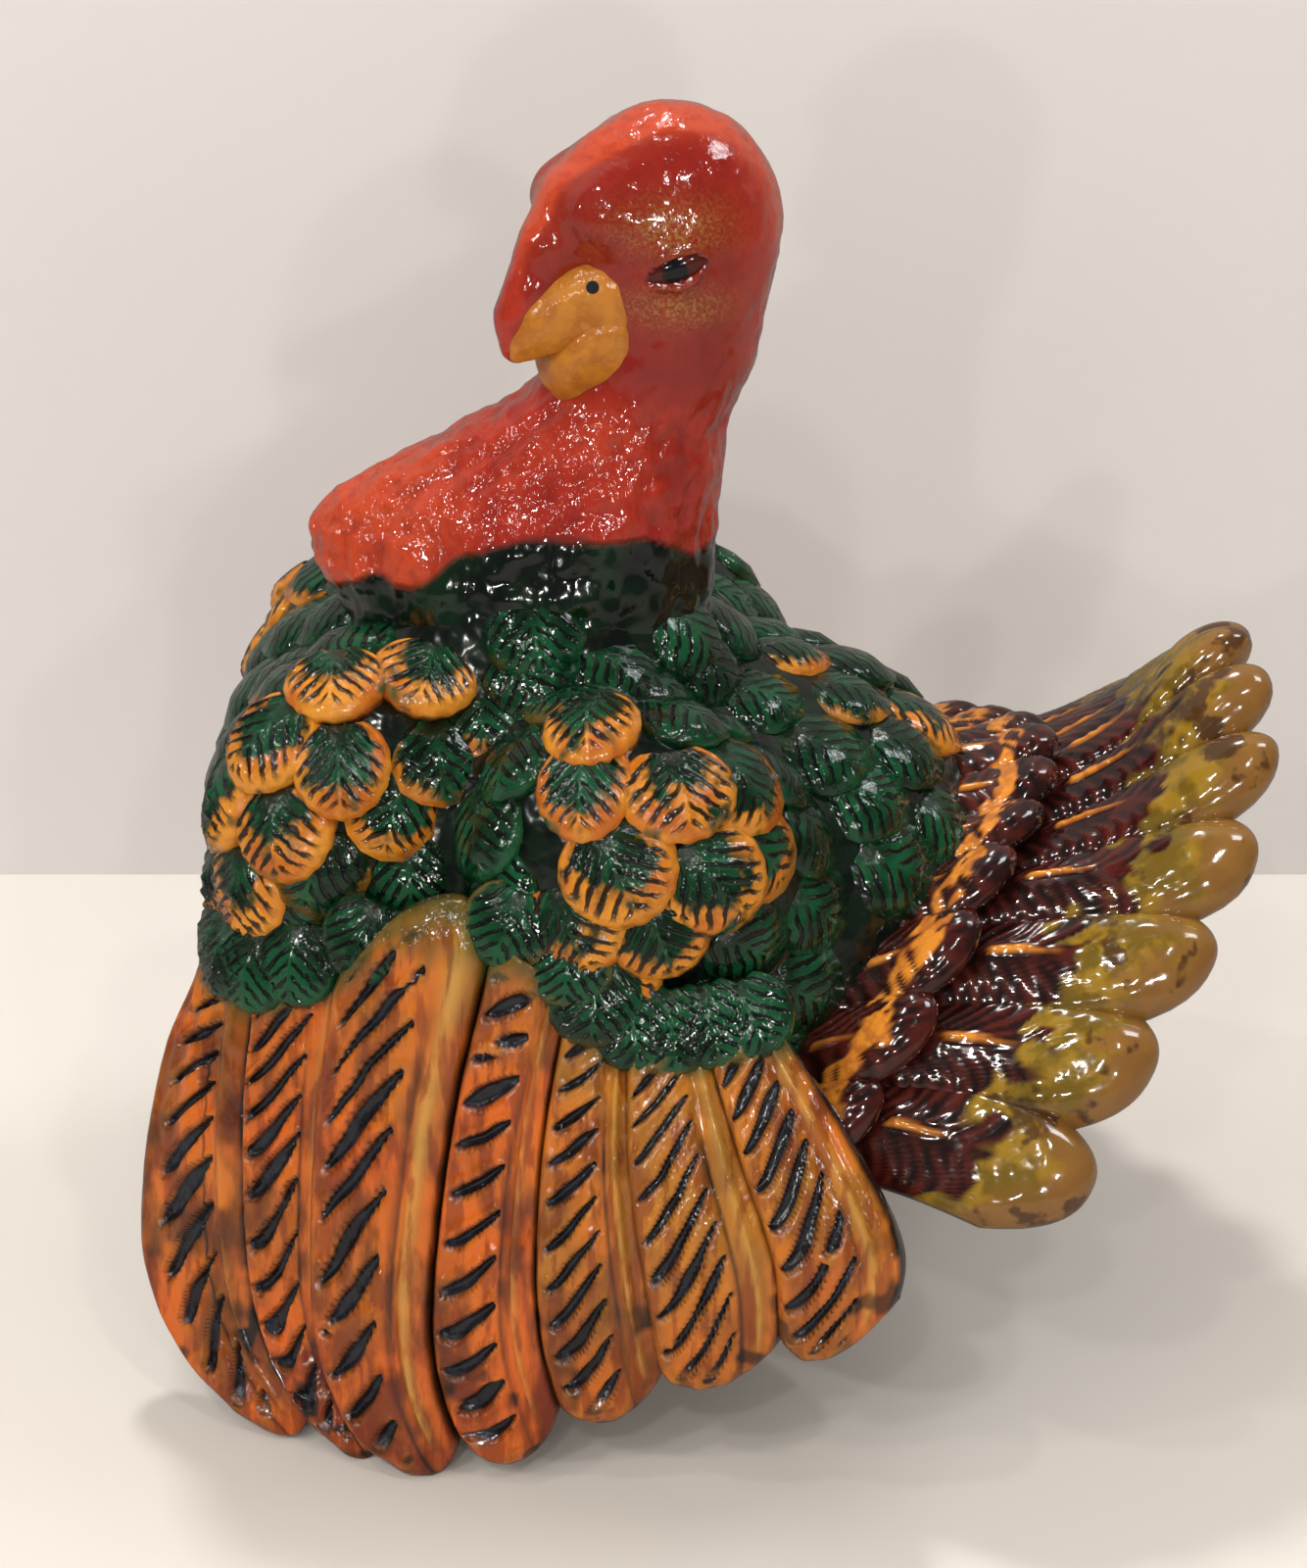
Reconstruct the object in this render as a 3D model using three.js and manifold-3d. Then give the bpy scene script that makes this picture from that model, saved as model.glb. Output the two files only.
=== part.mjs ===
// A glazed ceramic turkey standing on its drooped wings, with a raised fan tail.
// Millimetres, +Z up. The bird faces -Y and its left side is +X.
// The origin is under the middle of the figure, on the plane that it stands on.
import * as THREE from "three";
import { mergeVertices } from "three/addons/utils/BufferGeometryUtils.js";
import Module from "manifold-3d";

const wasm = await Module();
wasm.setup();

// Driving dimensions of the body, which the wings and the tail follow
const bodyHalfWidth = 75;
const bodyHalfLength = 90;
const bodyHeight = 165;
const wallThickness = 6;
const lumpBlend = 14;

// Neck and head
const neckRise = 78;
const neckHalfWidth = 23;
const headHalfWidth = 23;
const headHalfLength = 26;
const headHalfHeight = 27.5;
const headForward = 10;
const headTurnDegrees = 26;
const headBlend = 7;
const beakHalfWidth = 10.5;
const beakHalfDepth = 9;
const snoodHalfWidth = 5.5;
const snoodHalfDepth = 6;
const eyeHalfLength = 6;
const eyeHalfHeight = 3.4;
const eyeHalfDepth = 3.2;

// Feathers and raised scales
const wingFeatherThickness = 7;
const wingFeatherCrest = 3.2;
const tailFeatherThickness = 4;
const tailFeatherCrest = 7;
const covertThickness = 5;
const covertCrest = 3;
const scaleHalfLength = 13.5;
const scaleHalfWidth = 12.5;
const scaleHalfDepth = 3.6;
const bodyScaleHalfLength = 12;
const bodyScaleHalfWidth = 10.8;
const bodyScaleRise = 3.4;
const bodyScaleRoot = 4.2;
const bodyScalePitch = 19.5;
const hemScaleHalfLength = 9;
const hemScaleHalfWidth = 8;
const hemScaleHalfDepth = 4.4;

// Clearances
const seatGap = 0.3;
const neighbourGap = 0.5;

// Mesh densities
const bodyColumns = 32;
const bodyRows = 18;
const hollowColumns = 20;
const hollowRows = 12;
const headColumns = 20;
const headRows = 12;
const rodSides = 12;
const ringSides = 20;
const wingAcross = 4;
const wingAlong = 9;
const tailAcross = 4;
const tailAlong = 6;
const covertAcross = 4;
const covertAlong = 4;
const scaleColumns = 8;
const scaleRows = 4;
const smallScaleColumns = 6;
const smallScaleRows = 4;
const rowSamples = 90;
const strides = 60;
const bisections = 20;

const glaze = (color, roughness) =>
  new THREE.MeshStandardMaterial({ color, roughness, metalness: 0 });
const greenGlaze = glaze(0x0c3a1e, 0.2);
const redGlaze = glaze(0xc83c28, 0.25);
const beakGlaze = glaze(0xbe7828, 0.25);
const eyeGlaze = glaze(0x120a08, 0.1);
const featherGlaze = glaze(0xc85a1e, 0.25);
const tailGlaze = glaze(0x4a1712, 0.22);
const covertGlaze = glaze(0x5a1c14, 0.22);
const scaleGlaze = glaze(0xb07a30, 0.22);

const vector = (x, y, z) => new THREE.Vector3(x, y, z);
const lerp = THREE.MathUtils.lerp;

// A place on the body, in shares of its half width, half length and height
const bodyPlace = ([x, y, z]) => vector(x * bodyHalfWidth, y * bodyHalfLength, z * bodyHeight);

// A place on the head, in shares of its half sizes, from its centre
const headCentre = vector(0, headForward, bodyHeight + neckRise);
const headPlace = ([x, y, z]) =>
  vector(x * headHalfWidth, y * headHalfLength, z * headHalfHeight).add(headCentre);

// Closed solids in and out of the cutting library
function solidOf(geometry) {
  const bare = geometry.index ? geometry.toNonIndexed() : geometry.clone();
  bare.deleteAttribute("normal");
  bare.deleteAttribute("uv");
  const merged = mergeVertices(bare);
  return new wasm.Manifold(new wasm.Mesh({
    numProp: 3,
    vertProperties: new Float32Array(merged.attributes.position.array),
    triVerts: new Uint32Array(merged.index.array),
  }));
}

function geometryOf(solid) {
  const mesh = solid.getMesh();
  const geometry = new THREE.BufferGeometry();
  geometry.setAttribute("position", new THREE.BufferAttribute(mesh.vertProperties, 3));
  geometry.setIndex(new THREE.BufferAttribute(mesh.triVerts, 1));
  geometry.computeVertexNormals();
  return geometry;
}

function geometryFrom(points, triangles) {
  const geometry = new THREE.BufferGeometry();
  geometry.setAttribute("position", new THREE.Float32BufferAttribute(
    points.flatMap((point) => point.toArray()), 3));
  geometry.setIndex(triangles.flat());
  return geometry;
}

function boxesTouch(first, second) {
  const one = first.boundingBox();
  const two = second.boundingBox();
  return one.min.every((low, axis) => low <= two.max[axis])
    && two.min.every((low, axis) => low <= one.max[axis]);
}

const cutBy = (solid, cutters) => cutters.filter((cutter) => boxesTouch(solid, cutter))
  .reduce((rest, cutter) => rest.subtract(cutter), solid);

// The largest piece of a solid, without the crumbs that a cut can leave beside it
const mainPiece = (solid) => solid.decompose()
  .reduce((best, piece) => (piece.volume() > best.volume() ? piece : best));

// The same skin with every point raised along its normal
function raised(solid, margin) {
  const geometry = geometryOf(solid);
  const { position, normal } = geometry.attributes;
  for (let index = 0; index < position.count; index += 1) {
    const outward = new THREE.Vector3().fromBufferAttribute(normal, index);
    const point = new THREE.Vector3().fromBufferAttribute(position, index);
    position.setXYZ(index, ...point.addScaledVector(outward, margin).toArray());
  }
  return solidOf(geometry);
}

function mirrored(solid) {
  const geometry = geometryOf(solid);
  geometry.deleteAttribute("normal");
  geometry.scale(-1, 1, 1);
  const order = geometry.index.array;
  for (let first = 0; first < order.length; first += 3) {
    [order[first], order[first + 1]] = [order[first + 1], order[first]];
  }
  return solidOf(geometry);
}

// A closed skin over rings of points, with a fan at each end. Its second half has the facets of
// its first half mirrored, so a ring that starts on the mirror plane gives a symmetric skin
function loftRings(rings) {
  const sides = rings[0].length;
  const points = rings.flat();
  const centre = (ring) => ring.reduce((sum, point) => sum.add(point), vector(0, 0, 0))
    .divideScalar(sides);
  const startPole = points.push(centre(rings[0])) - 1;
  const endPole = points.push(centre(rings[rings.length - 1])) - 1;
  const triangles = [];
  for (let side = 0; side < sides; side += 1) {
    const next = (side + 1) % sides;
    triangles.push([startPole, next, side]);
    for (let ring = 0; ring < rings.length - 1; ring += 1) {
      const low = ring * sides;
      const high = low + sides;
      const [a, b, c, d] = [low + side, low + next, high + side, high + next];
      if (side < sides / 2) triangles.push([a, b, d], [a, d, c]);
      else triangles.push([a, b, c], [b, d, c]);
    }
    const last = (rings.length - 1) * sides;
    triangles.push([last + side, last + next, endPole]);
  }
  return solidOf(geometryFrom(points, triangles));
}

// Lumps of clay, each an ellipsoid, blended into one another
function lumpDistance(point, { centre, radii }) {
  const offset = point.clone().sub(centre);
  const near = offset.clone().divide(radii).length();
  const steep = offset.divide(radii).divide(radii).length();
  return steep === 0 ? -radii.x : near * (near - 1) / steep;
}

function blendedDistance(point, lumps, blend) {
  return lumps.map((lump) => lumpDistance(point, lump)).reduce((one, two) => {
    const mix = THREE.MathUtils.clamp((two - one) / blend / 2 + 1 / 2, 0, 1);
    return lerp(two, one, mix) - blend * mix * (1 - mix);
  });
}

// The outermost place on a ray from the clay's centre where the clay ends, or where it is as
// deep as a negative margin says
function surfacePoint(clay, direction, margin) {
  const pointAt = (distance) => clay.centre.clone().addScaledVector(direction, distance);
  const isInside = (distance) =>
    blendedDistance(pointAt(distance), clay.lumps, clay.blend) < margin;
  const stride = clay.reach / strides;
  let inside = clay.reach;
  while (inside > stride && !isInside(inside)) inside -= stride;
  let outside = inside + stride;
  for (let step = 0; step < bisections; step += 1) {
    const middle = (inside + outside) / 2;
    if (isInside(middle)) inside = middle;
    else outside = middle;
  }
  return pointAt(inside);
}

function claySolid(clay, columns, rows, margin) {
  const rings = [];
  for (let row = 1; row < rows; row += 1) {
    const polar = Math.PI * (1 - row / rows);
    const ring = [];
    for (let column = 0; column < columns; column += 1) {
      const around = 2 * Math.PI * column / columns;
      ring.push(surfacePoint(clay, new THREE.Vector3().setFromSpherical(
        new THREE.Spherical(1, polar, around)).applyAxisAngle(vector(1, 0, 0), Math.PI / 2), margin));
    }
    rings.push(ring);
  }
  return loftRings(rings);
}

// Body lumps, in shares of the body's sizes: belly, skirt behind the wings, breast, root of
// the neck, rump, and on each side the shoulder of the wing and the side of the breast
const bothSides = (lump) => [lump, {
  centreShare: [-lump.centreShare[0], lump.centreShare[1], lump.centreShare[2]],
  radiusShare: lump.radiusShare,
}];
const bodyLumpShares = [
  { centreShare: [0, -0.06, 0.50], radiusShare: [0.94, 0.93, 0.44] },
  { centreShare: [0, -0.33, 0.24], radiusShare: [0.98, 0.67, 0.44] },
  { centreShare: [0, -0.50, 0.71], radiusShare: [0.64, 0.46, 0.27] },
  { centreShare: [0, -0.18, 0.91], radiusShare: [0.48, 0.45, 0.20] },
  { centreShare: [0, 0.34, 0.61], radiusShare: [0.72, 0.60, 0.29] },
  ...bothSides({ centreShare: [0.66, 0.04, 0.765], radiusShare: [0.33, 0.38, 0.21] }),
  ...bothSides({ centreShare: [0.42, -0.60, 0.77], radiusShare: [0.30, 0.29, 0.21] }),
];
const bodyClay = {
  centre: bodyPlace([0, -0.17, 0.52]),
  reach: bodyHalfLength + bodyHeight,
  blend: lumpBlend,
  lumps: bodyLumpShares.map(({ centreShare, radiusShare }) => ({
    centre: bodyPlace(centreShare),
    radii: bodyPlace(radiusShare),
  })),
};

// Everything below a height, as a cutting body
function slabBelow(height) {
  const reach = 2 * (bodyHalfLength + bodyHeight);
  const slab = new THREE.BoxGeometry(reach, reach, reach);
  slab.translate(0, 0, height - reach / 2);
  return solidOf(slab);
}
const ground = slabBelow(0);

// Hollow body, open at its foot, which is the cut edge of its wall
const bodyOuter = claySolid(bodyClay, bodyColumns, bodyRows, 0);
const bodyHollow = claySolid(bodyClay, hollowColumns, hollowRows, -wallThickness);
const bodySeat = raised(bodyOuter, seatGap);

// Neck with the caruncle drape: egg-shaped rings, wider at the nape than at the front.
// Each row: height above the body, front, back, half width, how much wider the nape is
const neckRingShares = [
  [-0.19, -0.62, 0.22, 1.30, 0.10],
  [0.04, -0.67, 0.235, 1.26, 0.14],
  [0.14, -0.715, 0.245, 1.20, 0.18],
  [0.24, -0.71, 0.25, 1.12, 0.24],
  [0.32, -0.645, 0.255, 1.05, 0.28],
  [0.41, -0.49, 0.265, 0.97, 0.28],
  [0.50, -0.345, 0.27, 0.90, 0.22],
  [0.59, -0.21, 0.28, 0.84, 0.14],
  [0.68, -0.12, 0.30, 0.80, 0.06],
  [0.78, -0.09, 0.32, 0.80, 0],
];
function neckSolid(margin) {
  return loftRings(neckRingShares.map(([rise, front, back, width, nape]) => {
    const halfLength = (back - front) / 2 * bodyHalfLength + margin;
    const middle = (back + front) / 2 * bodyHalfLength;
    return Array.from({ length: ringSides }, (_, side) => {
      const angle = Math.PI / 2 + 2 * Math.PI * side / ringSides;
      const halfWidth = (width * neckHalfWidth) * (1 + nape * Math.sin(angle)) + margin;
      return vector(halfWidth * Math.cos(angle), middle + halfLength * Math.sin(angle),
        bodyHeight + rise * neckRise);
    });
  }));
}

// Head lumps, in shares of the head's half sizes: skull, face, top of the throat, brows
const headLumpShares = [
  { centreShare: [0, 0.08, 0.12], radiusShare: [1, 0.88, 0.88] },
  { centreShare: [0, 0.12, -0.42], radiusShare: [0.84, 0.60, 0.56] },
  { centreShare: [0, 0.04, -0.84], radiusShare: [0.78, 0.70, 0.50] },
  ...bothSides({ centreShare: [0.34, -0.56, 0.34], radiusShare: [0.36, 0.38, 0.28] }),
];
const headClay = {
  centre: headCentre,
  reach: headHalfLength + headHalfHeight,
  blend: headBlend,
  lumps: headLumpShares.map(({ centreShare, radiusShare }) => ({
    centre: headPlace(centreShare),
    radii: headPlace(radiusShare).sub(headCentre),
  })),
};

// A rod of changing section along a path in the middle plane of the head, or beside it
function taperedRod(stations, halfWidth, halfDepth, margin) {
  const centres = stations.map(({ placeShare }) => headPlace(placeShare));
  return loftRings(centres.map((centre, index) => {
    const before = centres[Math.max(index - 1, 0)];
    const after = centres[Math.min(index + 1, centres.length - 1)];
    const along = after.clone().sub(before).normalize();
    const across = vector(1, 0, 0);
    const out = along.clone().cross(across).normalize();
    const [widthShare, depthShare] = stations[index].sizeShare;
    return Array.from({ length: rodSides }, (_, side) => {
      const angle = 2 * Math.PI * side / rodSides;
      return centre.clone()
        .addScaledVector(across, (widthShare * halfWidth + margin) * Math.cos(angle))
        .addScaledVector(out, (depthShare * halfDepth + margin) * Math.sin(angle));
    });
  }));
}
const upperBeak = (margin) => taperedRod([
  { placeShare: [0, -0.30, -0.30], sizeShare: [1.25, 1.1] },
  { placeShare: [0, -0.62, -0.34], sizeShare: [1.15, 1.1] },
  { placeShare: [0, -0.91, -0.44], sizeShare: [0.86, 0.90] },
  { placeShare: [0, -1.12, -0.59], sizeShare: [0.56, 0.58] },
  { placeShare: [0, -1.27, -0.77], sizeShare: [0.16, 0.18] },
], beakHalfWidth, beakHalfDepth, margin);
const lowerBeak = (margin) => taperedRod([
  { placeShare: [0, -0.28, -0.62], sizeShare: [1.3, 1.2] },
  { placeShare: [0, -0.52, -0.75], sizeShare: [1.2, 1.1] },
  { placeShare: [0, -0.71, -0.93], sizeShare: [0.8, 0.72] },
  { placeShare: [0, -0.80, -1.11], sizeShare: [0.26, 0.26] },
], beakHalfWidth, beakHalfDepth, margin);
const snood = (margin) => taperedRod([
  { placeShare: [0, -0.30, 0.44], sizeShare: [0.9, 0.8] },
  { placeShare: [0, -0.66, 0.32], sizeShare: [1.05, 1.0] },
  { placeShare: [0, -0.90, 0.06], sizeShare: [1.0, 0.95] },
  { placeShare: [-0.04, -1.06, -0.24], sizeShare: [0.95, 0.85] },
  { placeShare: [-0.08, -1.16, -0.48], sizeShare: [0.9, 0.75] },
  { placeShare: [-0.12, -1.20, -0.68], sizeShare: [0.8, 0.6] },
  { placeShare: [-0.12, -1.20, -0.76], sizeShare: [0.5, 0.35] },
], snoodHalfWidth, snoodHalfDepth, margin);

// An egg of clay set on a surface: its long axis runs down the slope
function restingEgg({ centre, outward, down }, halfSizes, margin, columns, rows) {
  const across = down.clone().cross(outward).normalize();
  const along = outward.clone().cross(across).normalize();
  const egg = new THREE.SphereGeometry(1, columns, rows);
  egg.rotateX(Math.PI / 2);
  egg.scale(...halfSizes.map((size) => size + margin));
  egg.applyMatrix4(new THREE.Matrix4().makeBasis(across, along, outward));
  egg.translate(...centre.toArray());
  return solidOf(egg);
}

function seatOn(clay, place, down) {
  const direction = place.clone().sub(clay.centre).normalize();
  const centre = surfacePoint(clay, direction, 0);
  const distance = (point) => blendedDistance(point, clay.lumps, clay.blend);
  const rest = distance(centre);
  const slope = (axis) => distance(centre.clone().add(axis)) - rest;
  const outward = vector(slope(vector(1, 0, 0)), slope(vector(0, 1, 0)), slope(vector(0, 0, 1)));
  return { centre, outward: outward.normalize(), down };
}

const eyePlaceShare = [1, -0.27, -0.01];
const eyeTilt = vector(0, 1, 0.16).normalize();
const eyeSolid = (margin) => restingEgg(seatOn(headClay, headPlace(eyePlaceShare), eyeTilt),
  [eyeHalfHeight, eyeHalfLength, eyeHalfDepth], margin, ringSides / 2, rodSides / 2);

// Raised scales of the breast's side and of the wing's shoulder, in shares of the body's sizes
const breastScaleShares = [
  [0.45, -0.42, 0.95], [0.45, -0.56, 0.91], [0.57, -0.54, 0.84], [0.47, -0.65, 0.84],
  [0.56, -0.63, 0.76], [0.43, -0.76, 0.77], [0.52, -0.73, 0.69], [0.38, -0.85, 0.67],
];
const shoulderScaleShares = [
  [0.80, -0.03, 0.98], [0.88, -0.05, 0.91], [0.90, 0.15, 0.91], [0.97, 0.02, 0.83],
  [0.96, 0.22, 0.82], [0.96, -0.07, 0.75], [0.99, 0.11, 0.75], [1.01, 0.02, 0.67],
];
const downSlope = vector(0, 0.1, -1).normalize();
function scaleCluster(placeShares, margin) {
  return placeShares.map((place) => restingEgg(seatOn(bodyClay, bodyPlace(place), downSlope),
    [scaleHalfWidth, scaleHalfLength, scaleHalfDepth], margin, scaleColumns, scaleRows))
    .reduce((one, two) => one.add(two));
}

// A point on a smooth curve through places, which runs on a little past both of its ends
function splinePoint(points, share) {
  const last = points.length - 1;
  const first = THREE.MathUtils.clamp(Math.floor(share * last), 0, last - 1);
  const way = share * last - first;
  const [one, two] = [points[first], points[first + 1]];
  const beyond = (near, far) => near.clone().multiplyScalar(2).sub(far);
  const before = first > 0 ? points[first - 1] : beyond(one, two);
  const after = first + 1 < last ? points[first + 2] : beyond(two, one);
  const startPull = two.clone().sub(before).divideScalar(2);
  const endPull = after.clone().sub(one).divideScalar(2);
  const late = way * way * (3 - 2 * way);
  return one.clone().multiplyScalar(1 - late).addScaledVector(two, late)
    .addScaledVector(startPull, way * (1 - way) ** 2).addScaledVector(endPull, way * way * (way - 1));
}

// Rails of the wing, from its roots under the scales down to the tips of its feathers.
// Each rail runs from the front edge to the back edge, at the borders that borderShares names
const wingRailShares = [
  [[0.48, -0.93, 0.60], [0.70, -0.81, 0.59], [0.92, -0.26, 0.71], [1.02, 0.04, 0.59], [1.0, 0.40, 0.60]],
  [[0.56, -1.08, 0.42], [0.79, -0.85, 0.41], [0.98, -0.36, 0.46], [1.12, 0.05, 0.45], [1.10, 0.53, 0.50]],
  [[0.70, -1.13, 0.18], [0.91, -0.83, 0.17], [1.10, -0.41, 0.19], [1.19, 0.09, 0.29], [1.22, 0.66, 0.36]],
  [[0.92, -0.94, 0.01], [1.06, -0.68, 0], [1.16, -0.33, 0], [1.16, 0.13, 0.12], [1.27, 0.62, 0.24]],
];
const wingRails = wingRailShares.map((rail) => rail.map(bodyPlace));
const wingBorderShares = [0, 0.25, 0.375, 0.5, 0.625, 0.75, 0.875, 1];
const wingNames = ["a", "b", "c", "d", "e", "f", "g"];
const wingSheet = (across, along) =>
  splinePoint(wingRails.map((rail) => splinePoint(rail, across)), along);

// Rails of the tail: its roots, the tips of the coverts and the tips of the long feathers. Each
// falls away on both sides of the middle, and its row here runs from the middle to one side
const tailHalfRailShares = [
  [[0, 0.72, 0.72], [0.28, 0.70, 0.69], [0.54, 0.60, 0.62], [0.74, 0.38, 0.50], [0.84, 0.10, 0.35]],
  [[0, 1.10, 0.78], [0.27, 1.055, 0.745], [0.56, 0.92, 0.69], [0.84, 0.75, 0.57], [1.03, 0.54, 0.42]],
  [[0, 1.49, 0.965], [0.33, 1.54, 0.895], [0.67, 1.45, 0.735], [0.99, 1.23, 0.57], [1.26, 1.0, 0.375]],
];
const tailRails = tailHalfRailShares.map((half) => [
  ...half.toReversed(), ...half.slice(1).map(([x, y, z]) => [-x, y, z])].map(bodyPlace));
const covertEndShare = 1 / 2;
const tailSheet = (across, along) =>
  splinePoint(tailRails.map((rail) => splinePoint(rail, across)), along);

// How a feather's crest rises from its borders: steep on one side, gentle on the other
const crestSkewShare = 0.8;
const crestShare = (across) => Math.sin(Math.PI * across ** crestSkewShare);

// How square a feather's tip is, and how far apart a sheet's slopes are measured
const tipSquareness = 2.4;
const slopeStepShare = 1 / 500;

// One feather: a stretch of a sheet between two borders, crested outside, with a round tip
function feather({ sheet, from, to, start, end, tip, thickness, crest, lift, across, along }, margin) {
  const outerPoints = [];
  const innerPoints = [];
  for (let row = 0; row <= along; row += 1) {
    for (let column = 0; column <= across; column += 1) {
      const share = column / across;
      const side = lerp(from, to, share);
      const stop = end - tip * Math.abs(2 * share - 1) ** tipSquareness;
      const run = lerp(start, stop, row / along);
      const point = sheet(side, run);
      const slope = (sideStep, runStep) => sheet(side + sideStep, run + runStep)
        .sub(sheet(side - sideStep, run - runStep)).normalize();
      const sideways = slope(slopeStepShare, 0);
      const lengthways = slope(0, slopeStepShare);
      const outward = sideways.clone().cross(lengthways).normalize().negate();
      const inset = (column === 0) - (column === across);
      point.addScaledVector(sideways, inset * (neighbourGap / 2 - margin));
      const rounding = Math.sin(Math.PI / 2 * Math.min(1, (along - row) / 2 + 1 / 2));
      const rise = lift + crest * crestShare(share) * rounding + margin;
      outerPoints.push(point.clone().addScaledVector(outward, rise));
      innerPoints.push(point.clone().addScaledVector(outward, lift - thickness - margin));
    }
  }
  return slabSolid(outerPoints, innerPoints, across, along);
}

// Two grids of points, outside and inside, closed around their edge
function slabSolid(outerPoints, innerPoints, across, along) {
  const width = across + 1;
  const inner = outerPoints.length;
  const triangles = [];
  for (let row = 0; row < along; row += 1) {
    for (let column = 0; column < across; column += 1) {
      const [a, b] = [row * width + column, row * width + column + 1];
      const [c, d] = [a + width, b + width];
      triangles.push([a, c, b], [b, c, d]);
      triangles.push([inner + a, inner + b, inner + c], [inner + b, inner + d, inner + c]);
    }
  }
  const edge = [];
  for (let column = 0; column < across; column += 1) edge.push(column);
  for (let row = 0; row < along; row += 1) edge.push(row * width + across);
  for (let column = across; column > 0; column -= 1) edge.push(along * width + column);
  for (let row = along; row > 0; row -= 1) edge.push(row * width);
  edge.forEach((one, index) => {
    const two = edge[(index + 1) % edge.length];
    triangles.push([one, two, inner + one], [two, inner + two, inner + one]);
  });
  return solidOf(geometryFrom([...outerPoints, ...innerPoints], triangles));
}

// The figure
const figure = new THREE.Group();
function addPiece(name, solid, material) {
  const mesh = new THREE.Mesh(geometryOf(solid), material);
  mesh.name = name;
  figure.add(mesh);
}
function addPair(name, solid, material) {
  addPiece(`${name}_left`, solid, material);
  addPiece(`${name}_right`, mirrored(solid), material);
}

// The head looks a little to its left, so what it carries is turned about its own axis
function turned(solid) {
  const geometry = geometryOf(solid);
  geometry.translate(0, -headForward, 0);
  geometry.rotateZ(THREE.MathUtils.degToRad(headTurnDegrees));
  geometry.translate(0, headForward, 0);
  return solidOf(geometry);
}
const head = turned(claySolid(headClay, headColumns, headRows, 0));
const headSeat = raised(head, seatGap);
const upperBeakSeat = turned(upperBeak(seatGap));
const lowerBeakSeat = turned(lowerBeak(seatGap));
const eyeSeats = [eyeSolid(seatGap), mirrored(eyeSolid(seatGap))].map(turned);
addPiece("neck_drape", mainPiece(cutBy(neckSolid(0), [bodySeat, headSeat, lowerBeakSeat])), redGlaze);
addPiece("head", mainPiece(cutBy(head, [upperBeakSeat, lowerBeakSeat, turned(snood(seatGap)),
  ...eyeSeats])), redGlaze);
addPiece("upper_beak", turned(upperBeak(0)), beakGlaze);
addPiece("lower_beak", mainPiece(cutBy(turned(lowerBeak(0)), [upperBeakSeat])), beakGlaze);
addPiece("snood", mainPiece(cutBy(turned(snood(0)), [upperBeakSeat, lowerBeakSeat])), redGlaze);
addPiece("eye_left", turned(eyeSolid(0)), eyeGlaze);
addPiece("eye_right", turned(mirrored(eyeSolid(0))), eyeGlaze);

// The hem of scales that hangs over the roots of the long wing feathers
const hemCount = 15;
const hemBackShare = 0.3;
function hemSolid(margin) {
  return Array.from({ length: hemCount }, (_, index) => {
    const across = (index + 1 / 2) / hemCount;
    const slope = (sideStep, runStep) => wingSheet(across + sideStep, runStep)
      .sub(wingSheet(across - sideStep, -runStep)).normalize();
    const down = slope(0, slopeStepShare);
    const outward = slope(slopeStepShare, 0).cross(down).normalize().negate();
    const centre = wingSheet(across, 0).addScaledVector(outward, wingFeatherCrest)
      .addScaledVector(down, -hemBackShare * hemScaleHalfLength);
    return restingEgg({ centre, outward, down }, [hemScaleHalfWidth, hemScaleHalfLength,
      hemScaleHalfDepth], margin, smallScaleColumns, smallScaleRows);
  }).reduce((one, two) => one.add(two));
}

const breastScales = cutBy(scaleCluster(breastScaleShares, 0), [bodySeat, neckSolid(seatGap)]);
const shoulderScales = cutBy(scaleCluster(shoulderScaleShares, 0), [bodySeat]);
addPair("breast_scales", breastScales, scaleGlaze);
addPair("shoulder_scales", shoulderScales, scaleGlaze);
const scaleSeats = [scaleCluster(breastScaleShares, seatGap),
  scaleCluster(shoulderScaleShares, seatGap)];

const wingTipShare = 0.06;
const wingFeather = (index, margin) => feather({
  sheet: wingSheet, from: wingBorderShares[index], to: wingBorderShares[index + 1],
  start: 0, end: 1, tip: wingTipShare, thickness: wingFeatherThickness, crest: wingFeatherCrest, lift: 0,
  across: wingAcross, along: wingAlong,
}, margin);
wingNames.forEach((letter, index) => {
  const solid = cutBy(wingFeather(index, 0), [bodySeat, ground, ...scaleSeats]);
  addPair(`wing_feather_${letter}`, mainPiece(solid), featherGlaze);
});
const wingBack = wingNames.map((_, index) => wingFeather(index, seatGap));
const wingFront = wingNames.map((_, index) => raised(wingFeather(index, 0), neighbourGap));
addPair("hem_scales", mainPiece(cutBy(hemSolid(0), [bodySeat, ...scaleSeats, ...wingFront])), greenGlaze);

const tailCount = 13;
const tailStartShare = 0.2;
const covertTipShare = 0.08;
const tailTipShare = 0.12;
const covert = (index, margin) => feather({
  sheet: tailSheet, from: index / tailCount, to: (index + 1) / tailCount,
  start: 0, end: covertEndShare, tip: covertTipShare, thickness: covertThickness, crest: covertCrest,
  lift: covertThickness + seatGap,
  across: covertAcross, along: covertAlong,
}, margin);
const tailFeather = (index, margin) => feather({
  sheet: tailSheet, from: index / tailCount, to: (index + 1) / tailCount,
  start: tailStartShare, end: 1, tip: tailTipShare, thickness: tailFeatherThickness, crest: tailFeatherCrest,
  lift: -tailFeatherCrest,
  across: tailAcross, along: tailAlong,
}, margin);
const tailCutters = [bodySeat, ...wingBack, ...wingBack.map(mirrored)];
const numbered = (index) => String(index + 1).padStart(2, "0");
for (let index = 0; index < tailCount; index += 1) {
  addPiece(`tail_covert_${numbered(index)}`, mainPiece(cutBy(covert(index, 0), tailCutters)), covertGlaze);
}
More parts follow.
